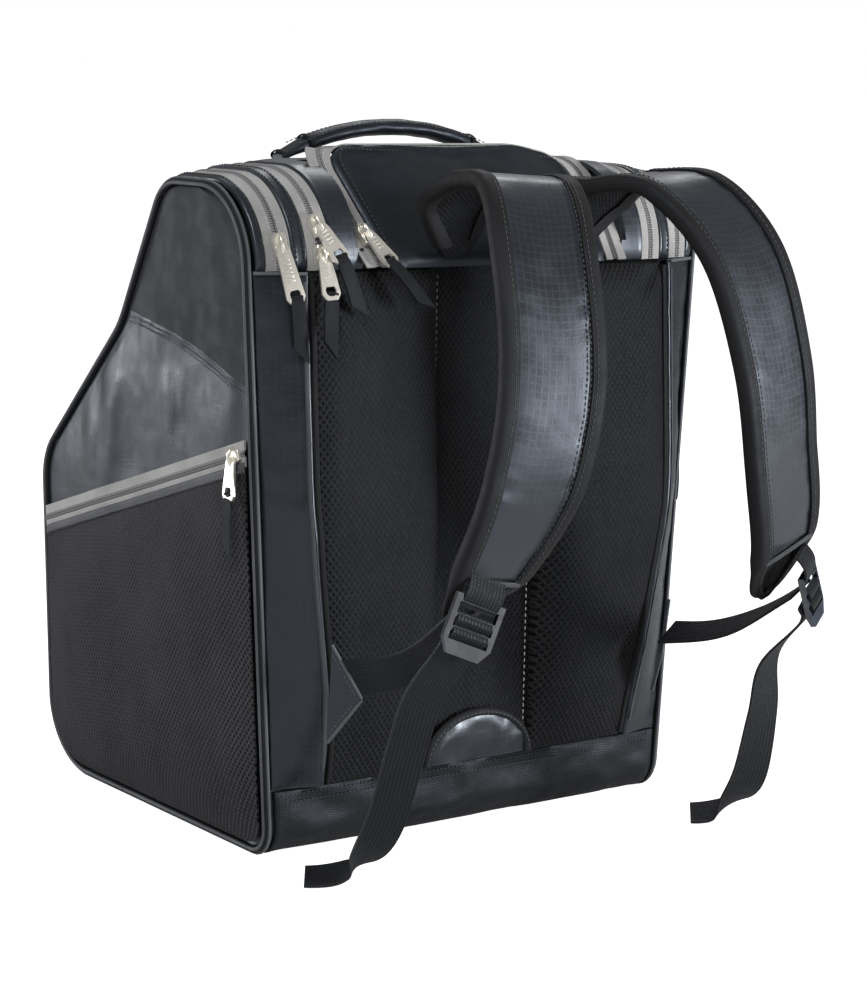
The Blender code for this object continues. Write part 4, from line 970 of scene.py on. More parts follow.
def make_strips():
    end = S_CROSS_BOTTOM - GAP
    for side, tag in SIDES:
        def strip(name, near, far, node, seed):
            def surface(s, inset):
                return wrap(s, from_edge(side, inset))

            def relief(s, v, a, b, ea, eb, p):
                gathers = seam_pucker(a, eb, seed, 0.0004)
                return soft(p, seed, 0.4) * fade(eb, 0.004) + hem(eb, 0.0028) + gathers

            cloth(name, surface, fine(S_BACK_SEAM, end, 0.004), fine(near, far, 0.0016, HEM_ROLL), M_COATED,
                  "bag", [node], relief=relief, roll=HEM_ROLL)
            for k, inset in enumerate((near + 0.0021, far - 0.0021)):
                if name.startswith("edge") and k == 0:
                    continue
                line = [wrap(s, from_edge(side, inset)) for s in fine(S_BACK_SEAM + 0.004, end, 0.004)]
                thread_line(f"{name}_stitches_{k}", line, "bag", M_THREAD_DARK, 0.0003)

        strip("edge_cloth_" + tag, EDGE, BOOT_ZIP[0] - GAP, "edge_strip_" + tag, 1.0 + side)
        strip("middle_cloth_" + tag, BOOT_ZIP[1] + GAP, MAIN_ZIP[0] - GAP, "middle_strip_" + tag, 5.0 + side)
        make_tape("boot_tape_" + tag, side, BOOT_ZIP, S_BACK_SEAM, end, ["boot_zipper_" + tag])
        make_tape("main_tape_" + tag, side, MAIN_ZIP, S_BACK_SEAM, end,
                  ["main_zipper"] if side < 0 else [])


COIL_COLUMNS = (0.0003, 0.0010, 0.0018, 0.0022, 0.0028, 0.0038, 0.0055, 0.0075)
COIL_CORE = 0.0028            # columns out to here stay in place when a tape is wider or narrower
COIL_HALF = 0.0021
COIL_HEIGHT = 0.0011
TAPE_THICKNESS = 0.0011


def coil_columns(half):
    """Where a tape's columns are, across it, for a tape with this half width."""
    right = [c * half / COIL_COLUMNS[-1] if c > COIL_CORE else c for c in COIL_COLUMNS]
    return [-c for c in reversed(right)] + right


def coil_height(b):
    inside = 1.0 - (b / COIL_HALF) ** 2
    return COIL_HEIGHT * math.sqrt(inside) if inside > 0.0 else 0.0


def make_tape(name, side, insets, start, end, nodes):
    centre = sum(insets) / 2.0
    half = (insets[1] - insets[0]) / 2.0

    def surface(s, v):
        return wrap(s, from_edge(side, centre + v))

    def relief(s, v, a, b, ea, eb, p):
        return coil_height(v) - 0.0009 + 0.0002 * crumple(p, 60.0, 4.0, 1)

    cloth(name, surface, fine(start, end, 0.003), coil_columns(half), M_TAPE, "bag", nodes,
          thickness=TAPE_THICKNESS, relief=relief)


def make_cross_zipper():
    s0, s1 = S_CROSS_BOTTOM - GAP, S_CROSS_TOP
    centre, half = (s0 + s1) / 2.0, abs(s1 - s0) / 2.0
    reach = half_width(BASE_SEAM_FRONT_Z) - MAIN_ZIP[1]

    def surface(x, v):
        return wrap(centre + v, lambda z: x)

    def relief(x, v, a, b, ea, eb, p):
        return coil_height(v) - 0.0009

    cloth("cross_tape", surface, fine(-reach, reach, 0.004), coil_columns(half), M_TAPE, "bag", (),
          thickness=TAPE_THICKNESS, relief=relief)


def lid_reach(s):
    """How far in the top cloth goes beside the lid: further near the lid's narrow foot."""
    above = s - S_BACK_SEAM
    return 0.89 if above < 0.008 else 0.925


def make_top():
    outer_inset = MAIN_ZIP[1] + GAP
    inner = LID_HALF_HEAD + LID_TAPE_WIDTH + 3.0 * GAP

    def surface(s, v):
        def reach(z):
            outer = half_width(z) - outer_inset
            side = 1.0 if v > 0.0 else -1.0
            size = abs(v)
            return side * (size * inner if size <= 1.0 else mix(inner, outer, size - 1.0))
        return wrap(s, reach)

    def relief(s, v, a, b, ea, eb, p):
        return soft(p, 8.0, 1.0) * fade(min(ea, eb), 0.015) + hem(eb) + seam_pucker(a, eb, 3.0)

    us = fine(S_BACK_SEAM, S_RIDGE, 0.004)[:-1] + fine(S_RIDGE, S_FOLD - GAP, 0.005)
    beside = (0.895, 0.93, 1.0, 1.25, 1.5, 1.7, 1.85, 2.0)
    vs = sorted({-v for v in beside} | set(spread(-1.0, 1.0, 44)[1:-1]) | set(beside))
    cloth("top_cloth", surface, us, vs, M_COATED, "bag", ["top_panel"], relief=relief,
          roll=HEM_ROLL, skip=lambda s, v: s < S_RIDGE and abs(v) < lid_reach(s))


FLAP_BEND = 0.016             # length of cloth that bends where the flap folds


def make_flap():
    def surface(s, v):
        return wrap(s, lambda z: v * (half_width(z) - MAIN_ZIP[1] - GAP))

    def relief(s, v, a, b, ea, eb, p):
        swell = 0.0016 * crumple(p, 7.0, 21.0, 2) + 0.0005 * crumple(p, 34.0, 5.0, 2)
        return swell * fade(min(ea, eb), 0.02) + hem(eb) + seam_pucker(a, eb, 9.0)

    piece = cloth("flap_cloth", surface, fine(S_FOLD - 0.0004, S_CROSS_TOP - 2.0 * GAP, 0.005),
                  fine(-1.0, 1.0, 0.005, HEM_ROLL, 0.12), M_COATED, None, ["front_flap"],
                  relief=relief, roll=HEM_ROLL)
    before, after = (wrap(S_FOLD + bend, lambda z: 0.0)[0] for bend in (0.0, FLAP_BEND))
    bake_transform(piece, "bag", "flap", start=tuple(before), end=tuple(after))
    for k, inset in enumerate((0.0024, 0.0074)):
        for side, tag in SIDES:
            line = [wrap(s, from_edge(side, MAIN_ZIP[1] + inset))
                    for s in fine(S_FOLD + 0.020, S_CROSS_TOP - 0.004, 0.005)]
            thread_line(f"flap_stitches_{tag}_{k}", line, "flap", M_THREAD_DARK)


def make_base():
    start = S_CROSS_BOTTOM
    end = OUTLINE.length + OUTLINE.on_back(BASE_SEAM_BACK_Z - GAP)

    def surface(s, v):
        return wrap(s, lambda z: v * (half_width(z) - EDGE))

    def relief(s, v, a, b, ea, eb, p):
        folds = 0.0022 * creases((p[0], p[1], p[2] * 1.8), 13.0, 2.0) - 0.0012
        folds += 0.0012 * crumple((p[0], p[1], p[2] * 2.2), 30.0, 6.0, 3)
        folds *= fade(min(ea, eb), 0.008)
        folds += seam_pucker(b, ea, 2.0, 0.0009, 55.0)
        flat = 1.0 - ease(p[2] / 0.012)
        return mix(folds, min(folds, 0.0) * 0.3, flat)

    us = fine(start, end, 0.0045, 0.001)
    cloth("base_cloth", surface, us, fine(-1.0, 1.0, 0.0045, HEM_ROLL, 0.157), M_BASE, "bag", ["base_panel"],
          relief=relief, roll=0.001)
    for k, drop in enumerate((0.0030, 0.0078)):
        for name, s in (("back", end - drop), ("front", start + drop)):
            line = [wrap(s, lambda z, v=v: v * (half_width(z) - EDGE)) for v in spread(-0.97, 0.97, 70)]
            thread_line(f"base_stitches_{name}_{k}", line, "bag", M_THREAD_DARK, 0.0002, pitch=3.2,
                        length=2.3)


def make_lining():
    """One inner cloth under the base and up the back, behind the seams between the outer cloths."""
    end = OUTLINE.length + OUTLINE.on_back(BACK_SEAM_Z)
    reach, depth = 0.0028, SKIN + 0.0006

    def surface(s, v):
        return wrap(s, lambda z: v * (half_width(z) - reach))

    cloth("shell_lining", surface, fine(S_CROSS_BOTTOM, end, 0.010), spread(-1.0, 1.0, 24), M_LINING,
          "bag", (), thickness=0.0008, relief=lambda s, v, a, b, ea, eb, p: -depth)


# ---------------------------------------------------------------- sides
SEAM_FRONT = Vector((0.014, 0.344))
SEAM_BACK = Vector((-0.139, 0.307))


def seam_height(y):
    """Height of the curved seam between the two cloths of a side panel."""
    t = (y - SEAM_BACK.x) / (SEAM_FRONT.x - SEAM_BACK.x)
    return mix(SEAM_BACK.y, SEAM_FRONT.y, t) + 0.006 * math.sin(math.pi * min(max(t, 0.0), 1.0))


def side_swell(y, z):
    p = (y, z, 0.0)
    ridges = 0.0016 * crumple((y * 2.4, z * 0.8, 0.0), 14.0, 51.0, 2)
    return ridges + 0.0018 * crumple(p, 8.0, 31.0, 2) + 0.0004 * crumple(p, 38.0, 12.0, 3)


def make_side(side, tag):
    inset = 1.75 * PIPING_RADIUS
    top = PROFILE[1][0][1] - inset

    def surface(z, v):
        first, last = OUTLINE.span(min(max(z, inset + 1e-5), top - 1e-5), inset)
        return side_plane(side, mix(first, last, v), z, 0.0)

    def relief(z, v, a, b, ea, eb, p):
        near = abs(p[2] - seam_height(p[1]))
        return (side_swell(p[1], p[2]) + 0.0025 * fade(min(ea, eb), 0.05)) * fade(min(ea, eb), 0.012) \
            + 0.0005 * math.exp(-(near / 0.0016) ** 2) + seam_pucker(p[1], near, 2.0, 0.0005, 60.0)

    heights = sorted(set(fine(inset, 0.03, 0.002) + fine(0.03, 0.38, 0.0045) + fine(0.38, top, 0.0022)))
    cloth("side_cloth_" + tag, surface, heights, spread(0.0, 1.0, 64), M_SIDE, "bag", ["side_panel_" + tag],
          relief=relief, zone=lambda z, v, p: p[2] - seam_height(p[1]))
    for k, offset in enumerate((-0.0028, -0.0062)):
        ys = [y for y in fine(-0.136, 0.05, 0.004)
              if y < OUTLINE.span(min(seam_height(y), top - 1e-4), inset)[1] - 0.002]
        line = [side_plane(side, y, seam_height(y) + offset, 0.0028) for y in ys]
        thread_line(f"seam_stitches_{tag}_{k}", line, "bag", M_THREAD_DARK)


def pocket_corner(side):
    inset = 2.0 * PIPING_RADIUS + 5.0 * GAP
    slope = pocket_zip_z(1.0) - pocket_zip_z(0.0)
    level = pocket_zip_z(0.0) - POCKET_ZIP_WIDTH * 0.5

    def height(u, y):
        return max(mix(inset, level, u) + u * slope * y, inset)

    def edge_y(u, which):
        y = 0.0
        for _ in range(6):
            y = OUTLINE.span(height(u, y) + 1e-5, inset)[which]
        return y

    edges = {}

    def surface(u, v):
        if u not in edges:
            edges[u] = (edge_y(u, 0), edge_y(u, 1))
        y = mix(edges[u][0], edges[u][1], v)
        return side_plane(side, y, height(u, y), 0.0)

    return surface


def make_pocket(side, tag):
    surface = pocket_corner(side)

    def puff(u, v):
        return POCKET_BULGE * (1.0 - (2.0 * u - 1.0) ** 4) * (1.0 - (2.0 * v - 1.0) ** 4)

    def relief(u, v, a, b, ea, eb, p):
        waves = 0.0012 * crumple((p[1] * 1.6, p[2], 0.0), 11.0, 17.0, 3)
        return 0.0030 + waves * fade(min(ea, eb), 0.02) + seam_pucker(b, ea, 4.0, 0.0010, 45.0)

    us = sorted(set(fine(0.0, 0.1, 0.0025, 0, 0.22) + fine(0.1, 1.0, 0.0045, 0, 0.22)))
    cloth("pocket_cloth_" + tag, surface, us, spread(0.0, 1.0, 60), M_POCKET_MESH, "bag",
          ["side_pocket_" + tag], inner=lambda u, v: GAP + puff(u, v) - 0.0005,
          outer=lambda u, v: GAP + 0.0008 + puff(u, v), relief=relief)


BINDING_STITCH = -0.0018      # height of the stitches over the middle of the pocket binding


def make_pocket_zipper(side, tag):
    inset = 2.0 * PIPING_RADIUS + 3.0 * GAP
    half = POCKET_ZIP_WIDTH * 0.5
    y_back = BACK_Y + inset
    y_front = OUTLINE.span(POCKET_ZIP_FRONT_Z - 0.004, inset)[1]

    def surface(u, v):
        y = mix(y_back, y_front, u)
        return side_plane(side, y, pocket_zip_z(y) + v, 0.0)

    def relief(u, v, a, b, ea, eb, p):
        return 0.0042 + coil_height(v) + 0.6 * side_swell(p[1], 0.23) * fade(ea, 0.02)

    cloth("pocket_tape_" + tag, surface, fine(0.0, 1.0, 0.003, 0, 0.28), coil_columns(half), M_TAPE, "bag",
          ["pocket_zipper_" + tag], thickness=0.0014, relief=relief)

    def bound(u, v, out=0.0):
        y = mix(y_back, y_front - 0.001, u)
        return side_plane(side, y, pocket_zip_z(y) - half - 0.0005 + v, out)

    def rolled(u, v, a, b, ea, eb, p):
        return 0.0054 + 0.0007 * math.sqrt(max(0.0, 1.0 - (b / 0.0036) ** 2)) \
            + 0.6 * side_swell(p[1], 0.23) * fade(ea, 0.02)

    cloth("pocket_binding_" + tag, bound, fine(0.0, 1.0, 0.004, 0, 0.28), spread(-0.0035, 0.0035, 8),
          M_GREY_BINDING, "bag", (), thickness=0.0016, relief=rolled, roll=0.0008)
    line = [bound(u, BINDING_STITCH, 0.0066) for u in spread(0.01, 0.985, 70)]
    thread_line(f"pocket_stitches_{tag}_0", line, "bag", M_THREAD_GREY)


PIPING_STOPS = 260


def make_piping(side, tag):
    """Two cords side by side over a darker core, along the whole outline of a side panel."""
    out = Vector((side, 0.0, 0.0))
    parts = (("piping_outer_", 0.0018, 0.0017, 0.0012, M_PIPING),
             ("piping_inner_", -0.0020, 0.0017, 0.0012, M_PIPING),
             ("piping_gutter_", 0.0, 0.0006, 0.0024, M_BINDING))
    for name, offset, push, radius, material in parts:
        centres, frames = [], []
        for k in range(PIPING_STOPS):
            y, z, ny, nz = OUTLINE.at(OUTLINE.length * k / PIPING_STOPS)
            up = Vector((0.0, ny, nz))
            base = Vector((side * half_width(z), y - ny * PIPING_RADIUS, z - nz * PIPING_RADIUS))
            diagonal, flat = (out + up).normalized(), (up - out).normalized()
            centres.append(base + diagonal * push + flat * offset)
            frames.append((diagonal, flat))
        sweep(name + tag, centres, frames, lambda i, r=radius: disc(r, 10), material, "bag",
              ["piping_" + tag] if offset > 0.0 else [], closed=True)



# ---------------------------------------------------------------- back of the bag
OUT = Vector((0.0, -1.0, 0.0))


PAD_CROWN = 0.86              # how proud a pad's edge is, for one at its middle
BACK_SPAN = (BASE_SEAM_BACK_Z + GAP, BACK_SEAM_Z - GAP)


def back_fraction(z):
    return (z - BASE_SEAM_BACK_Z) / (BACK_SEAM_Z - BASE_SEAM_BACK_Z)


def pad_half(z):
    return mix(PAD_HALF_BOTTOM, PAD_HALF_TOP, ease(back_fraction(z) * 1.6))


def pad_proud(z):
    return float(np.interp(back_fraction(z), (0.0, 0.2, 0.5, 1.0), PAD_PROUD))


def make_back_panel():
    def surface(z, v):
        return Vector((v * pad_half(z), BACK_Y, z)), OUT

    def relief(z, v, a, b, ea, eb, p):
        if abs(p[0]) > CHANNEL_HALF + 0.004:
            return -0.0006
        folds = 0.0014 * creases((p[0] * 2.0, 0.0, p[2]), 18.0, 7.0)
        from_pad = CHANNEL_HALF + 0.004 - abs(p[0])
        return (folds + 0.0010 * crumple(p, 30.0, 2.0)) * fade(ea, 0.01) * fade(from_pad, 0.01)

    cloth("channel_cloth", surface, fine(*BACK_SPAN, 0.005),
          spread(-1.0, 1.0, 60), M_PAD_MESH, "bag", ["back_panel"], thickness=0.0012,
          relief=relief)


def make_back_pad(side, tag):
    def surface(z, v):
        x = mix(CHANNEL_HALF, pad_half(z), v)
        return Vector((side * x, BACK_Y, z)), OUT

    def outer(z, v):
        wide = pad_half(z) - CHANNEL_HALF
        near, far = v * wide, (1.0 - v) * wide
        inner_roll = 1.0 - 0.72 * (1.0 - min(1.0, near / 0.016)) ** 2.2
        outer_roll = 1.0 - 0.20 * (1.0 - min(1.0, far / 0.008)) ** 2.0
        along = min(z - BASE_SEAM_BACK_Z, BACK_SEAM_Z - z)
        ends = 1.0 - 0.30 * (1.0 - min(1.0, along / 0.014)) ** 2.0
        return 0.002 + (pad_proud(z) - 0.004) * inner_roll * outer_roll * ends

    def relief(z, v, a, b, ea, eb, p):
        swell = 0.0011 * crumple(p, 12.0, 40.0 + side, 2) + 0.0003 * crumple(p, 45.0, 3.0, 2)
        return swell * fade(min(ea, eb), 0.01)

    width = PAD_HALF_TOP - CHANNEL_HALF
    piece = cloth("pad_cloth_" + tag, surface, fine(*BACK_SPAN, 0.0048, 0.002),
                  fine(0.0, 1.0, 0.0048, 0.0015, width), M_PAD_MESH, "bag", ["back_pad_" + tag],
                  inner=lambda z, v: 0.0012, outer=outer, relief=relief)
    pinned = [1.0 if v.co.y > BACK_Y - 0.0030 else 0.0 for v in piece.data.vertices]
    inflate(piece, 4.0, 0.0030, pinned)
    smooth_more(piece)
    heights = fine(BASE_SEAM_BACK_Z + 0.004, BACK_SEAM_Z - 0.004, 0.004)
    line = [(Vector((side * (CHANNEL_HALF - 0.0032), BACK_Y - 0.0012, z)), OUT) for z in heights]
    thread_line(f"channel_stitches_{tag}_0", line, "bag", M_THREAD_WHITE, pitch=4.4, length=2.6, radius=0.45)
    edge = [Vector((side * (pad_half(z) - 0.0012), BACK_Y - (pad_proud(z) - 0.004) * PAD_CROWN - 0.0018, z))
            for z in heights]
    frames = [(Vector((1.0, 0.0, 0.0)), OUT)] * len(edge)
    sweep("pad_edge_" + tag, edge, frames, lambda i: disc(0.0021, 8), M_BINDING, "bag", ())


GUSSET_TUCK = 0.0016          # how far the gusset reaches in under the piping


def make_back_gusset(side, tag):
    def surface(z, v):
        outer_x = half_width(z) - EDGE + GUSSET_TUCK
        x = mix(outer_x, pad_half(z) + TAPE + GAP, v)
        y = BACK_Y + 0.002 - mix(0.0, pad_proud(z) * PAD_CROWN + 0.002, v)
        normal = Vector((side * (pad_proud(z) + 0.002), -(outer_x - pad_half(z)), 0.0))
        return Vector((side * x, y, z)), normal.normalized()

    def relief(z, v, a, b, ea, eb, p):
        swell = 0.0022 * math.sin(math.pi * v) * fade(ea, 0.02)
        return swell + 0.0015 * crumple(p, 14.0, 50.0, 2) * fade(min(ea, eb), 0.006) \
            + 0.0005 * crumple((p[0] * 0.4, 0.0, p[2]), 50.0, 3.0, 2) * fade(eb, 0.004) \
            + seam_pucker(p[2], eb, 6.0, 0.0006, 80.0)

    cloth("gusset_cloth_" + tag, surface, fine(*BACK_SPAN, 0.004, 0.001),
          fine(0.0, 1.0, 0.0022, 0.0010, 0.03), M_GUSSET, "bag", ["back_gusset_" + tag],
          thickness=0.0018, relief=relief, roll=0.0010)
    heights = fine(BASE_SEAM_BACK_Z + 0.012, BACK_SEAM_Z - 0.006, 0.004)
    # painted highlight: lighter strands down the gusset's fold and along its top edge, where the coated cloth
    # turns and catches the light
    fold = [surface(z, 0.93) for z in heights]
    strand("gusset_fold_" + tag, [p + n * 0.0010 for p, n in fold], [n for p, n in fold], 0.0013, M_DIM_FOLD_HIGHLIGHT,
           flat=0.5)
    z = BACK_SEAM_Z - 0.0012
    top = [p + n * 0.0014 for p, n in (surface(z, v) for v in spread(0.02, 0.98, 16))]
    strand("gusset_top_fold_" + tag, top, [surface(z, 0.5)[1]] * len(top), 0.0011, M_FOLD_HIGHLIGHT, flat=0.6)


def make_arch():
    """Small coated window in the channel, above the base seam, with its dark binding."""
    low, high, half = BASE_SEAM_BACK_Z + 0.0006, 0.0790, 0.0425

    def arch(t):
        angle = math.pi * t
        return Vector((half * math.cos(angle) * (1.0 - 0.10 * math.sin(angle)), 0.0,
                       low + (high - low) * math.sin(angle) ** 0.8))

    def surface(u, v):
        rim = arch(mix(1.0, 0.0, v))
        z = mix(low, rim.z, u)
        return Vector((rim.x, BACK_Y - 0.0034, z)), OUT

    def relief(u, v, a, b, ea, eb, p):
        return 0.0022 * math.sin(math.pi * min(u * 0.9, 1.0)) * math.sin(math.pi * v) \
            + 0.0012 * creases(p, 24.0, 9.0) * fade(eb, 0.01)

    cloth("arch_cloth", surface, spread(0.0, 1.0, 12), spread(0.02, 0.98, 36), M_GUSSET, "bag", (),
          thickness=0.0012, relief=relief)
    rim = [arch(t) + Vector((0.0, BACK_Y - 0.0042, 0.0)) for t in spread(0.0, 1.0, 60)]
    strand("arch_binding", rim, [OUT] * len(rim), 0.0030, M_BINDING, flat=0.75, count=10)
    line = [(arch(t) + Vector((0.0, BACK_Y - 0.0066, 0.0)), OUT) for t in spread(0.02, 0.98, 60)]
    thread_line("arch_stitches", line, "bag", M_THREAD_GREY, pitch=3.4, length=2.0, radius=0.32)


# ---------------------------------------------------------------- goggle pocket
LID_ALONG = (LID_HEAD - LID_FOOT).normalized()
LID_NORMAL = Vector((0.0, -LID_ALONG.z, LID_ALONG.y))
LID_LENGTH = (LID_HEAD - LID_FOOT).length
LID_BEND = 0.014              # length of cloth that bends where the lid is sewn on
LID_SAG = Vector((-0.0030, 0.0015, -0.0075))


def lid_half(u):
    start = 1.0 - LID_CORNER / LID_LENGTH
    rounding = 0.0
    if u > start:
        t = (u - start) / (1.0 - start)
        rounding = LID_CORNER * (1.0 - math.sqrt(max(0.0, 1.0 - t * t)))
    return mix(LID_HALF_FOOT, LID_HALF_HEAD, u) - rounding


def droop(point, along):
    """How far the lid's slack corner on the wearer's right has sunk."""
    beside, ahead = ease((point.x - 0.045) / 0.055), ease(along / LID_LENGTH * 1.3 - 0.3)
    return LID_SAG * (beside * ahead)


def make_lid():
    def surface(u, v):
        point = LID_FOOT + LID_ALONG * (u * LID_LENGTH) + Vector((v * lid_half(u), 0.0, 0.0))
        return point + droop(point, u * LID_LENGTH), LID_NORMAL

    def relief(u, v, a, b, ea, eb, p):
        crown = 0.0042 * (1.0 - abs(v) ** 3) * math.sin(math.pi * min(max(u, 0.0), 1.0)) ** 0.7
        wrinkles = 0.0011 * crumple(p, 14.0, 60.0, 2) + 0.0004 * crumple(p, 50.0, 3.0, 2)
        rim = 0.0011 * math.exp(-((min(ea, eb) - 0.0042) / 0.0016) ** 2) * ease(u * 6.0)
        return crown + wrinkles * fade(min(ea, eb), 0.012) + rim

    start = 1.0 - LID_CORNER / LID_LENGTH
    rows = fine(0.0, start, 0.0042, 0, LID_LENGTH)
    rows += [1.0 - (LID_CORNER / LID_LENGTH) * (1.0 - math.sin(math.radians(a))) for a in range(8, 91, 8)]
    piece = cloth("lid_cloth", surface, rows + [1.0], fine(-1.0, 1.0, 0.0045, 0.0012, 0.1), M_SMOOTH, None,
                  ["goggle_lid"], thickness=0.0035, relief=relief, roll=0.0016)
    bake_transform(piece, "bag", "lid", start=tuple(LID_FOOT), end=tuple(LID_FOOT + LID_ALONG * LID_BEND))
    line = []
    for side in (-1, 1):
        part = [surface(u, side * (1.0 - 0.0050 / max(lid_half(u), 0.03)))
                for u in spread(0.16, 1.0 - 0.0045 / LID_LENGTH, 60)]
        line += part if side < 0 else part[::-1]
    thread_line("lid_stitches", line, "lid", M_THREAD_DARK, 0.0020)


def make_lid_zipper():
    over = Vector((0.0, math.cos(HEAD_TAPE_FALL), -math.sin(HEAD_TAPE_FALL)))
    over_normal = Vector((0.0, math.sin(HEAD_TAPE_FALL), math.cos(HEAD_TAPE_FALL)))
    start = LID_LENGTH - LID_CORNER
    edge = []
    for side in (-1, 1):
        part = [(side, lid_half(along / LID_LENGTH), along, 0.0) for along in fine(0.0, start, 0.0035)]
        for angle in range(6, 91, 6):
            turn = math.radians(angle)
            along = start + LID_CORNER * math.sin(turn)
            part.append((side, lid_half(min(along / LID_LENGTH, 1.0)), along, turn))
        part += [(side, x, LID_LENGTH, math.pi / 2.0) for x in fine(lid_half(1.0), 0.002, 0.0045)[1:]]
        edge += part if side < 0 else part[::-1]
    gap = 2.0 * GAP
    middle_v = gap + (LID_TAPE_WIDTH - gap) * 0.46

    def surface(k, v):
        side, x, along, turn = edge[k]
        folded = ease(turn / (math.pi / 2.0))
        outward = Vector((side * math.cos(turn), 0.0, 0.0))
        outward += LID_ALONG.lerp(over, folded).normalized() * math.sin(turn)
        first = LID_FOOT + Vector((side * x, 0.0, 0.0)) + LID_ALONG * (along + HEAD_STEP * folded)
        point = first + outward * (middle_v + v)
        return point + droop(point, along) * 0.9, LID_NORMAL.lerp(over_normal, folded).normalized()

    columns = [-middle_v + gap] + coil_columns(COIL_COLUMNS[-1])[1:-1] + [LID_TAPE_WIDTH - middle_v]
    centre = (columns[0] + columns[-1]) / 2.0

    def relief(k, v, a, b, ea, eb, p):
        return coil_height(v) - 0.0008

    piece = cloth("lid_tape", surface, list(range(len(edge))), columns, M_TAPE, "bag", ["lid_zipper"],
                  thickness=TAPE_THICKNESS, relief=relief)
    shift = piece.data.attributes["cloth"]
    values = np.zeros(len(shift.data) * 3, np.float32)
    shift.data.foreach_get("vector", values)
    values[1::3] += centre
    shift.data.foreach_set("vector", values)


def make_liner():
    def surface(u, v):
        point = LID_FOOT + LID_ALONG * (0.012 + u * (LID_LENGTH - 0.020))
        return point + Vector((v * (LID_HALF_FOOT - 0.003), 0.0, 0.0)), LID_NORMAL

    def depth(u, v):
        sag = math.sin(math.pi * u) * (1.0 - v ** 4)
        return LID_THICKNESS + 0.003 + LINER_DEPTH * sag

    cloth("liner_cloth", surface, spread(0.0, 1.0, 20), spread(-1.0, 1.0, 36), M_LINING, "bag",
          ["goggle_liner"], inner=lambda u, v: -depth(u, v) - 0.0008,
          outer=lambda u, v: -depth(u, v),
          relief=lambda u, v, a, b, ea, eb, p: -0.0012 * abs(crumple(p, 30.0, 3.0, 2)))


def make_divider(side, tag):
    inset, top = 0.009, 0.410

    def surface(z, v):
        first, last = OUTLINE.span(z, inset)
        x = mix(DIVIDER_X, DIVIDER_TOP_X, ease((z - DIVIDER_TURN_Z) / (top - DIVIDER_TURN_Z)))
        slope = FLARE if z < DIVIDER_TURN_Z else 1.0
        return Vector((side * x, mix(first, last, v), z)), Vector((side, 0.0, -slope)).normalized()

    def relief(z, v, a, b, ea, eb, p):
        return 0.0016 * crumple(p, 12.0, 4.0 * side, 2) * fade(min(ea, eb), 0.015)

    rows = fine(0.0095, 0.03, 0.002) + fine(0.03, top, 0.008)[1:]
    cloth("divider_cloth_" + tag, surface, rows, spread(0.0, 1.0, 30), M_LINING, "bag", ["divider_" + tag],
          thickness=0.0012, relief=relief)


# ---------------------------------------------------------------- carry handle
def handle_centre(t):
    rise = HANDLE_RISE * (1.0 - abs(t) ** 2.1)
    return Vector((t * HANDLE_HALF_SPAN, HANDLE_Y, HANDLE_END_Z + rise))


def make_handle():
    stops = spread(-1.0, 1.0, 56)
    centres = [handle_centre(t) for t in stops]
    frames = [(Vector((0.0, 1.0, 0.0)), Vector((0.0, 0.0, 1.0)))] * len(stops)
    count = 28

    def ring(i):
        t = abs(stops[i])
        grip = ease((0.74 - t) / 0.10)
        wide = mix(0.0086, 0.0092, grip)
        high = mix(0.0030, 0.0056, ease((1.0 - t) / 0.30))
        out = []
        for k in range(count):
            angle = math.tau * k / count
            fold = 0.00045 * noise.noise(Vector((stops[i] * 9.0, math.cos(angle), math.sin(angle) * 1.5)))
            flat = 1.0 - 0.10 * math.cos(2.0 * angle) ** 2 * (1.0 - grip)
            out.append(((wide + fold) * math.cos(angle) * flat, (high + fold) * math.sin(angle)))
        return out

    piece = sweep("handle_grip", centres, frames, ring, M_SMOOTH, "handle", ["carry_handle"])
    pinned = [1.0 if abs(v.co.x) > HANDLE_HALF_SPAN * 0.93 else 0.0 for v in piece.data.vertices]
    inflate(piece, 2.5, 0.0008, pinned)
    smooth_more(piece)
    for k, y in enumerate((-0.0078, 0.0078)):
        beside = Vector((0.0, y, 0.0036))
        line = [handle_centre(t) + beside for t in spread(-0.86, 0.86, 60)]
        stitch_line(f"handle_stitches_{k}", line, [beside.normalized()] * len(line), "handle", M_THREAD_DARK,
                    pitch=3.6, lift=0.9)
    for side, tag in SIDES:
        for t, name in ((0.74, "grip_end"), (0.97, "sewn_end")):
            c = handle_centre(side * t)
            ahead = (handle_centre(side * (t + 0.02)) - c).normalized()
            high = Vector((0.0, 1.0, 0.0)).cross(ahead).normalized()
            points, ups = [], []
            wide, tall = (0.0098, 0.0061) if name == "grip_end" else (0.0092, 0.0040)
            for k in range(28):
                angle = math.tau * k / 28
                direction = Vector((0.0, 1.0, 0.0)) * math.cos(angle) * wide + high * math.sin(angle) * tall
                points.append(c + direction)
                ups.append(direction.normalized())
            loop = [(ahead, u) for u in ups]
            sweep(f"handle_{name}_{tag}", points, loop, lambda i: disc(0.0016, 8, 0.45), M_BINDING, "handle",
                  (), closed=True)


# ---------------------------------------------------------------- shoulder straps
def strap_frame(side, t):
    """Centre, direction, width toward the outer side and outward normal of a strap at t."""
    route = STRAP_ROUTE + STRAP_END[side]
    here = smooth_route(route, t) * mirror(side)
    step = 0.004
    along = (smooth_route(route, t + step) - smooth_route(route, t - step)) * mirror(side)
    along.normalize()
    flat = Vector((side, 0.0, 0.0))
    flat = (flat - along * along.dot(flat)).normalized()
    lift = along.cross(flat) * side
    twist = math.radians(blend_values(STRAP_TWIST[side], t))
    width = flat * math.cos(twist) - lift * math.sin(twist)
    return here, along, width, along.cross(width) * side


def strap_rounding(t):
    past = max(0.0, (t - STRAP_TIP_FROM) / (1.0 - STRAP_TIP_FROM))
    return 1.0 - 0.62 * (1.0 - math.sqrt(max(0.0, 1.0 - past ** 2)))


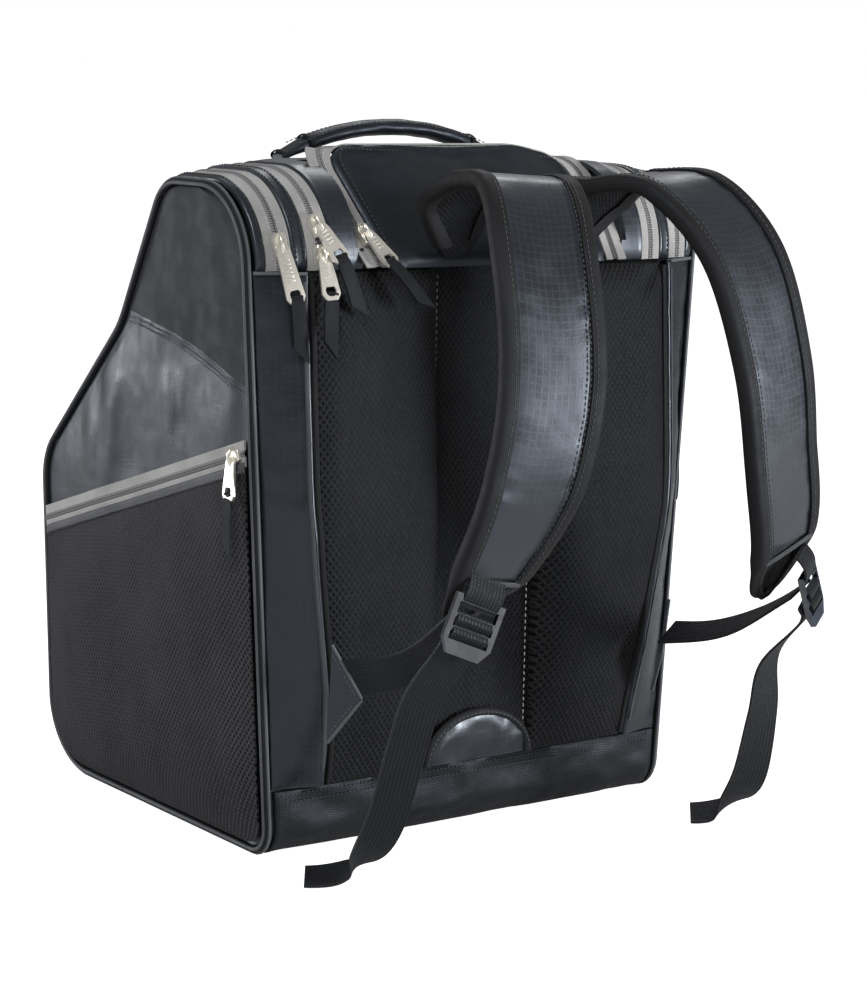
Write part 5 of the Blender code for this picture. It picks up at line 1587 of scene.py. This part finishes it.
def strap_half(t):
    tip = ease((t - STRAP_TIP_FROM) / (1.0 - STRAP_TIP_FROM) * 2.0)
    return mix(STRAP_THICKNESS, STRAP_TIP_THICKNESS, tip) / 2.0


def strap_reach(t):
    return strap_rounding(t) * blend_values(STRAP_HALF_WIDTH, t)


FACE_END = 0.895              # where the coated cloth of a strap's face ends
CLOTH_INSET = 0.0012          # how far the strap's cloth stays inside its binding
BINDING_INSET = 0.0052
BINDING_HALF = 0.0054
BINDING_SECTION = ((-1.0, 0.93), (-0.4, 1.0), (0.35, 1.0), (0.75, 0.86), (0.97, 0.45), (1.0, 0.0),
                   (0.97, -0.45), (0.75, -0.86), (0.35, -1.0), (-0.4, -1.0), (-1.0, -0.93), (-1.04, 0.0))


def make_strap(side, tag):
    body = "strap_" + tag
    cache = {}

    def place(t):
        if t not in cache:
            cache[t] = strap_frame(side, t)
        return cache[t]

    def surface(t, v):
        centre, along, width, normal = place(t)
        return centre + width * (v * (strap_reach(t) - CLOTH_INSET)), normal

    def section(t, v):
        crown = 1.0 - 0.42 * abs(v) ** 4
        step = 1.0 if t < FACE_END else 0.62
        return (strap_half(t) - CLOTH_INSET) * crown * step

    def relief(t, v, a, b, ea, eb, p):
        bend = ease((0.62 - t) / 0.2) * ease((t - 0.12) / 0.1)
        ruck = 0.0008 * bend * crumple((p[0] * 0.3, p[1], p[2]), 42.0, 80.0 + side, 2)
        return ruck * (1.0 - v * v) + 0.0006 * crumple(p, 16.0, 90.0, 2) * (1.0 - v * v) \
            + seam_pucker(a, max(eb - 0.009, 0.0), 14.0 + side, 0.0011, 140.0)

    stops = spread(0.0, STRAP_TIP_FROM, 112) + spread(STRAP_TIP_FROM, 1.0, 24)[1:]
    piece = cloth("strap_cloth_" + tag, surface, stops, spread(-1.0, 1.0, 18), [M_COATED, M_STRAP_MESH], body,
                  ["strap_pad_" + tag], inner=lambda t, v: -section(t, v), outer=section,
                  relief=relief, face=lambda t, v, layer: 0 if layer == 0 and t < FACE_END else 1)
    sewn = piece.data.attributes["cloth"]
    edge = np.zeros(len(sewn.data) * 3, np.float32)
    sewn.data.foreach_get("vector", edge)
    pinned = [1.0 if e < 0.006 else 0.0 for e in edge[2::3]]
    inflate(piece, 3.0, 0.0016, pinned)
    smooth_more(piece)
    tips = [1.0 - 0.12 * (1.0 - math.sin(math.radians(a))) for a in range(4, 91, 4)]
    run = spread(0.03, STRAP_TIP_FROM, 110) + tips

    def rim(t, way):
        """Middle of the binding beside t, its direction away from the strap, normal and half thickness."""
        centre, along, width, normal = place(t)
        return centre + width * (way * (strap_reach(t) - BINDING_INSET)), width * way, normal, strap_half(t)

    centre, along, width, normal = place(1.0)
    tip = [(centre + width * (f * (strap_reach(1.0) - BINDING_INSET)) + along * 0.0006, along, normal,
            strap_half(1.0)) for f in reversed(spread(1.0, -1.0, 9)[1:-1])]
    rows = [rim(t, -1) for t in run] + tip + [rim(t, 1) for t in reversed(run)]

    def binding(i):
        return [(x * BINDING_HALF, y * (rows[i][3] + 0.0004)) for x, y in BINDING_SECTION]

    sweep("strap_binding_" + tag, [r[0] for r in rows], [(r[1], r[2]) for r in rows], binding, M_BINDING,
          body, (), smooth=60)
    line = [(p - away * 0.0026 + n * (high + 0.0002), n) for p, away, n, high in rows]
    thread_line("strap_stitches_" + tag, line, body, M_THREAD_GREY_DIM, pitch=3.8, length=2.4, radius=0.34)
    line = [(p - away * 0.0072 + n * (high * 0.96), n) for p, away, n, high in rows[:len(run) - 18]]
    thread_line("strap_face_stitches_" + tag, line, body, M_THREAD_DARK, pitch=3.6)
    # painted highlight: a lighter strand across the strap where its coated face folds under
    centre, along, width, normal = place(FACE_END)
    fold = []
    for v in spread(-0.80, 0.80, 20):
        lift = strap_half(FACE_END) + 0.0004 - 0.0012 * abs(v) ** 3
        fold.append(centre + width * (v * strap_reach(FACE_END)) + normal * lift)
    strand("strap_fold_" + tag, fold, [normal] * len(fold), 0.0019, M_DIM_FOLD_HIGHLIGHT, body, flat=0.6)


# ---------------------------------------------------------------- buckles and webbing
def buckle_frame(side):
    along = (Vector(BUCKLE_DIRECTION[side]) * mirror(side)).normalized()
    width = Vector(BUCKLE_WIDTH_WAY[side]) * mirror(side)
    width = (width - along * along.dot(width)).normalized()
    return Vector(BUCKLE_TOP[side]) * mirror(side), along, width, along.cross(width) * side


def make_webbing(side, tag):
    top, along, width, normal = buckle_frame(side)
    end = top + along * 0.011 - normal * WEB_OFFSET
    start = TAB_TIP.lerp(TAB_TOP, 0.42) * mirror(side) + Vector((0.0, -0.0035, 0.0))
    reach = end - start
    direction = reach.normalized()
    first_width = (Vector(LOWER_WEB_WIDTH_WAY[side]) * mirror(side)).normalized()
    drape = Vector((0.0, -0.25, -1.0)).normalized()

    def surface(t, v):
        sag = drape * (reach.length * 0.07 * math.sin(math.pi * t))
        turned = first_width.lerp(width, ease(1.15 * t)).normalized()
        turned = (turned - direction * direction.dot(turned)).normalized()
        return start + reach * t + sag + turned * (v * WEB_HALF_WIDTH), turned.cross(direction)

    half = WEB_THICKNESS / 2.0
    web = cloth("web_lower_" + tag, surface, spread(0.0, 1.0, 40), spread(-1.0, 1.0, 12), M_WEBBING,
                "strap_" + tag, ["lower_webbing_" + tag], thickness=half, both=True,
                relief=lambda t, v, a, b, ea, eb, p: 0.0005 * v * math.sin(t * 9.0))
    length = piece_length(surface)

    begin = top + along * 0.019 - normal * WEB_OFFSET
    points = [begin, begin + along * 0.012 - normal * 0.001] + [Vector(p) for p in TAIL_ROUTE[side]]
    lower_width = Vector((0.88, -0.47, 0.0)) * side
    last_width = Vector((0.54, 0.80, 0.24)) * side

    def tail(t, v):
        centre = smooth_route(points, t) - Vector((0.0, 0.0, 0.0045 * ease(t * 5.0 - 4.0)))
        way = smooth_route(points, t + 0.02) - smooth_route(points, t - 0.02)
        way.normalize()
        across = width.lerp(lower_width, ease(t * 1.3)).lerp(last_width, ease(t * 2.6 - 1.5))
        across = (across - way * way.dot(across)).normalized()
        return centre + across * (v * WEB_HALF_WIDTH), way.cross(across) * side

    def tail_curl(t, v, a, b, ea, eb, p):
        return 0.0006 * v * math.sin(t * 11.0 + side) * ease(t * 3.0)

    end_web = cloth("web_tail_" + tag, tail, spread(0.0, 1.0, 72), spread(-1.0, 1.0, 12), M_WEBBING,
                    "buckle_" + tag, ["webbing_tail_" + tag], thickness=half, both=True,
                    relief=tail_curl)
    piece_length(tail)

    def bridge(name, first, last, rise, low, body):
        """Webbing that passes over or between bars, from first to last along the buckle."""
        def arc(t, v):
            lift = low + rise * math.sin(math.pi * t)
            centre = top + along * mix(first, last, t) + normal * lift
            slope = rise * math.pi * math.cos(math.pi * t) / (last - first)
            way = (along + normal * slope).normalized()
            return centre + width * (v * (WEB_HALF_WIDTH - 0.0002)), way.cross(width) * side
        cloth(name + "_" + tag, arc, spread(0.0, 1.0, 10), spread(-1.0, 1.0, 12), M_WEBBING, body + tag, (),
              thickness=half * 0.8, both=True)

    bridge("web_bar_one", 0.0086, 0.0166, 0.0030, -0.0004, "buckle_")
    bridge("web_bar_two", 0.0166, 0.0246, 0.0030, -0.0004, "buckle_")
    bridge("web_top_loop", -0.0150, 0.0048, 0.0036, -0.0006, "strap_")


def piece_length(surface):
    spots = [surface(t, 0.0)[0] for t in spread(0.0, 1.0, 80)]
    return sum((b - a).length for a, b in zip(spots, spots[1:]))


def make_tab(side, tag):
    a, b, c = (p * mirror(side) for p in (TAB_TOP, TAB_BOTTOM, TAB_TIP))
    normal = (b - a).cross(c - a).normalized()
    if normal.y > 0.0:
        normal = -normal

    def surface(u, v):
        base = a.lerp(b, v)
        return base.lerp(c, u * 0.985), normal

    def relief(u, v, aa, bb, ea, eb, p):
        return 0.0008 * math.sin(math.pi * v) + 0.0004 * crumple(p, 60.0, 2.0, 2)

    cloth("tab_cloth_" + tag, surface, spread(0.0, 1.0, 12), spread(0.0, 1.0, 16), M_COATED, "bag",
          ["webbing_tab_" + tag], thickness=0.0009, both=True, relief=relief)
    # painted highlight: lighter strands along the tab's two slanted folded edges
    for k, (p, q) in enumerate(((a, c), (b, c))):
        line = [p.lerp(q, t) + normal * 0.0010 for t in spread(0.0, 0.98, 20)]
        strand(f"tab_edge_{tag}_{k}", line, [normal] * len(line), 0.0010, M_FOLD_HIGHLIGHT, flat=0.7)
        inward = (a.lerp(b, 0.5).lerp(c, 0.3) - p.lerp(q, 0.5)).normalized() * 0.0038
        line = [(p.lerp(q, t) + inward + normal * 0.0012, normal) for t in spread(0.08, 0.86, 18)]
        thread_line(f"tab_stitches_{tag}_{k}", line, "bag", M_THREAD_GREY, pitch=3.0, length=2.0, radius=0.3)


# ---------------------------------------------------------------- metal
def bevel(node, width, segments=3, angle=30.0):
    modifier = NODES[node].modifiers.new("Bevel", "BEVEL")
    modifier.width = width
    modifier.segments = segments
    modifier.limit_method = "ANGLE"
    modifier.angle_limit = math.radians(angle)
    modifier.harden_normals = False
    NODES[node].data.shade_smooth()


def refinish(node, material):
    data = NODES[node].data
    data.materials.clear()
    data.materials.append(material)


def node_points(node):
    return np.array([v.co for v in NODES[node].data.vertices])


def make_hardware():
    names = [("main", "upper"), ("main", "lower"), ("boot", "left"), ("boot", "right"), ("lid", None),
             ("pocket", "left"), ("pocket", "right")]
    for kind, which in names:
        def full(word):
            return f"{kind}_{word}" + (f"_{which}" if which else "")
        slider, pull, tug, flip = full("slider"), full("pull"), full("tug"), full("flip")
        refinish(slider, M_NICKEL)
        refinish(pull, M_NICKEL)
        bevel(slider, 0.0007)
        bevel(pull, 0.00045, 2)
        hinge = Vector(JOINTS[flip]["pos_m"])
        across = Vector(JOINTS[flip]["axis"]).normalized()
        pull_points = node_points(pull)
        down = Vector(pull_points.mean(axis=0)) - hinge
        down = (down - across * across.dot(down)).normalized()
        length = float(((pull_points - np.array(hinge)) @ np.array(down)).max())
        face = across.cross(down).normalized()
        box_middle = Vector(node_points(slider).mean(axis=0))
        rise = (hinge - box_middle)
        make_bridge(full("bridge"), hinge, across, rise.normalized(), full("slide"))
        make_pull_detail(full("plate"), hinge, across, down, face, length, full("pulling"))
        make_tug(full("strap"), tug, hinge + down * length, across, full("pulling"))


def make_bridge(name, hinge, across, up, body):
    """Cast loop on a slider that holds its pull."""
    chain = up.cross(across).normalized()
    points = []
    for t in spread(0.0, 1.0, 18):
        angle = math.pi * t
        c = hinge - up * 0.0016 + chain * (0.0050 * math.cos(angle)) + up * (0.0040 * math.sin(angle) ** 0.7)
        points.append(c)
    strand(name, points, [across] * len(points), 0.0011, M_NICKEL, body, "nickel", count=10)


GRIP_BAR_HEIGHT = 0.00035
GRIP_PITCH = 0.0026
GRIP_START = 0.0052           # from the hinge of a pull to its first grip bar
PULL_SURFACE = 0.00085        # from the middle of a pull's plate to its face
BOX_CORNERS = ((-1, -1), (1, -1), (1, 1), (-1, 1))
BOX_FACES = ((3, 2, 1, 0), (4, 5, 6, 7), (0, 1, 5, 4), (1, 2, 6, 5), (2, 3, 7, 6), (3, 0, 4, 7))


def make_pull_detail(name, hinge, across, down, face, length, body):
    """Crosswise grip bars on both faces of a pull's plate."""
    co, faces = [], []

    def bar(centre, half_wide, half_tall, high):
        base = len(co)
        for z in (0.0, high):
            k = 1.0 if z == 0.0 else 0.72
            for x, y in BOX_CORNERS:
                co.append(centre + across * (x * half_wide * k) + down * (y * half_tall * k) + face * z)
        order = 1 if high > 0.0 else -1
        faces.extend([tuple(base + i for i in f)[::order] for f in BOX_FACES])

    steps = max(3, int((length - 0.0165) / GRIP_PITCH))
    for side in (1, -1):
        for k in range(steps):
            at = hinge + down * (GRIP_START + GRIP_PITCH * k) + face * (side * PULL_SURFACE)
            bar(at, 0.0026, 0.0006, side * GRIP_BAR_HEIGHT)
    mesh = bpy.data.meshes.new(name)
    mesh.from_pydata([tuple(c) for c in co], [], faces)
    put(name, mesh, M_NICKEL, body, (), smooth=30)


TUG_TOP = -0.0038             # where a tug's layers start, from the end of its pull
TUG_LOOP_SECTION = ((-0.0036, -0.0004), (0.0036, -0.0004), (0.0036, 0.0004), (-0.0036, 0.0004))


def make_tug(name, node, end, across, body):
    """Fabric strip threaded through the eye: two layers, with a slanted cut."""
    points = node_points(node)
    flat = max(NODES[node].data.polygons, key=lambda f: f.area).normal.normalized()
    corners = np.unique(points.round(6), axis=0)
    head = sorted(corners, key=lambda p: (Vector(p) - end).length)[:4]
    pairs = [Vector(p) - Vector(q) for p in head for q in head]
    side_axis = max(((d - flat * d.dot(flat)) for d in pairs), key=lambda d: d.length).normalized()
    if side_axis.dot(across) < 0.0:
        side_axis = -side_axis
    way = flat.cross(side_axis).normalized()
    if way.dot(Vector(points.mean(axis=0)) - end) < 0.0:
        way = -way
    shift = sum((Vector(p) - end for p in head), Vector()) / len(head)
    end = end + side_axis * side_axis.dot(shift)
    wide_points = (points - np.array(end)) @ np.array(side_axis)
    run_points = (points - np.array(end)) @ np.array(way)
    low_end = float(run_points[wide_points > 0.002].max())
    high_end = float(run_points[wide_points < -0.002].max())

    def layer(label, offset, shorten):
        def surface(u, v):
            stop = mix(high_end, low_end, (v + 1.0) / 2.0) - shorten
            at = mix(TUG_TOP, stop, u)
            curve = 0.0010 * math.sin(math.pi * u)
            neck = 1.0 - 0.18 * (1.0 - ease(u * 5.0))
            point = end + way * at + side_axis * (v * 0.0047 * neck)
            return point + flat * (offset * ease(u * 8.0) + curve), flat

        cloth(f"{name}_{label}", surface, spread(0.0, 1.0, 20), spread(-1.0, 1.0, 10), M_TUG, body,
              [node] if label == "front" else (), thickness=0.0004, both=True, smooth=60)

    layer("front", 0.00055, 0.0)
    layer("back", -0.00055, 0.0006)
    loop = []
    for t in spread(0.0, 1.0, 8):
        angle = math.pi * (t - 0.5)
        loop.append(end + way * (-0.0036 - 0.0014 * math.cos(angle)) + flat * (0.0011 * math.sin(angle)))
    sweep(f"{name}_loop", loop, line_frames(loop, [side_axis.cross(flat)] * len(loop)),
          lambda i: TUG_LOOP_SECTION, M_TUG, body, ())


def make_buckles():
    for tag in ("left", "right"):
        node = "ladder_lock_" + tag
        refinish(node, M_GUNMETAL)
        bevel(node, 0.0014, 4)


make_camera()
make_studio()
make_strips()
make_cross_zipper()
make_top()
make_flap()
make_base()
make_lining()
for SIDE, TAG in SIDES:
    make_side(SIDE, TAG)
    make_pocket(SIDE, TAG)
    make_pocket_zipper(SIDE, TAG)
    make_piping(SIDE, TAG)
    make_back_pad(SIDE, TAG)
    make_back_gusset(SIDE, TAG)
    make_divider(SIDE, TAG)
    make_strap(SIDE, TAG)
    make_webbing(SIDE, TAG)
    make_tab(SIDE, TAG)
make_back_panel()
make_arch()
make_lid()
make_lid_zipper()
make_liner()
make_handle()
make_hardware()
make_buckles()
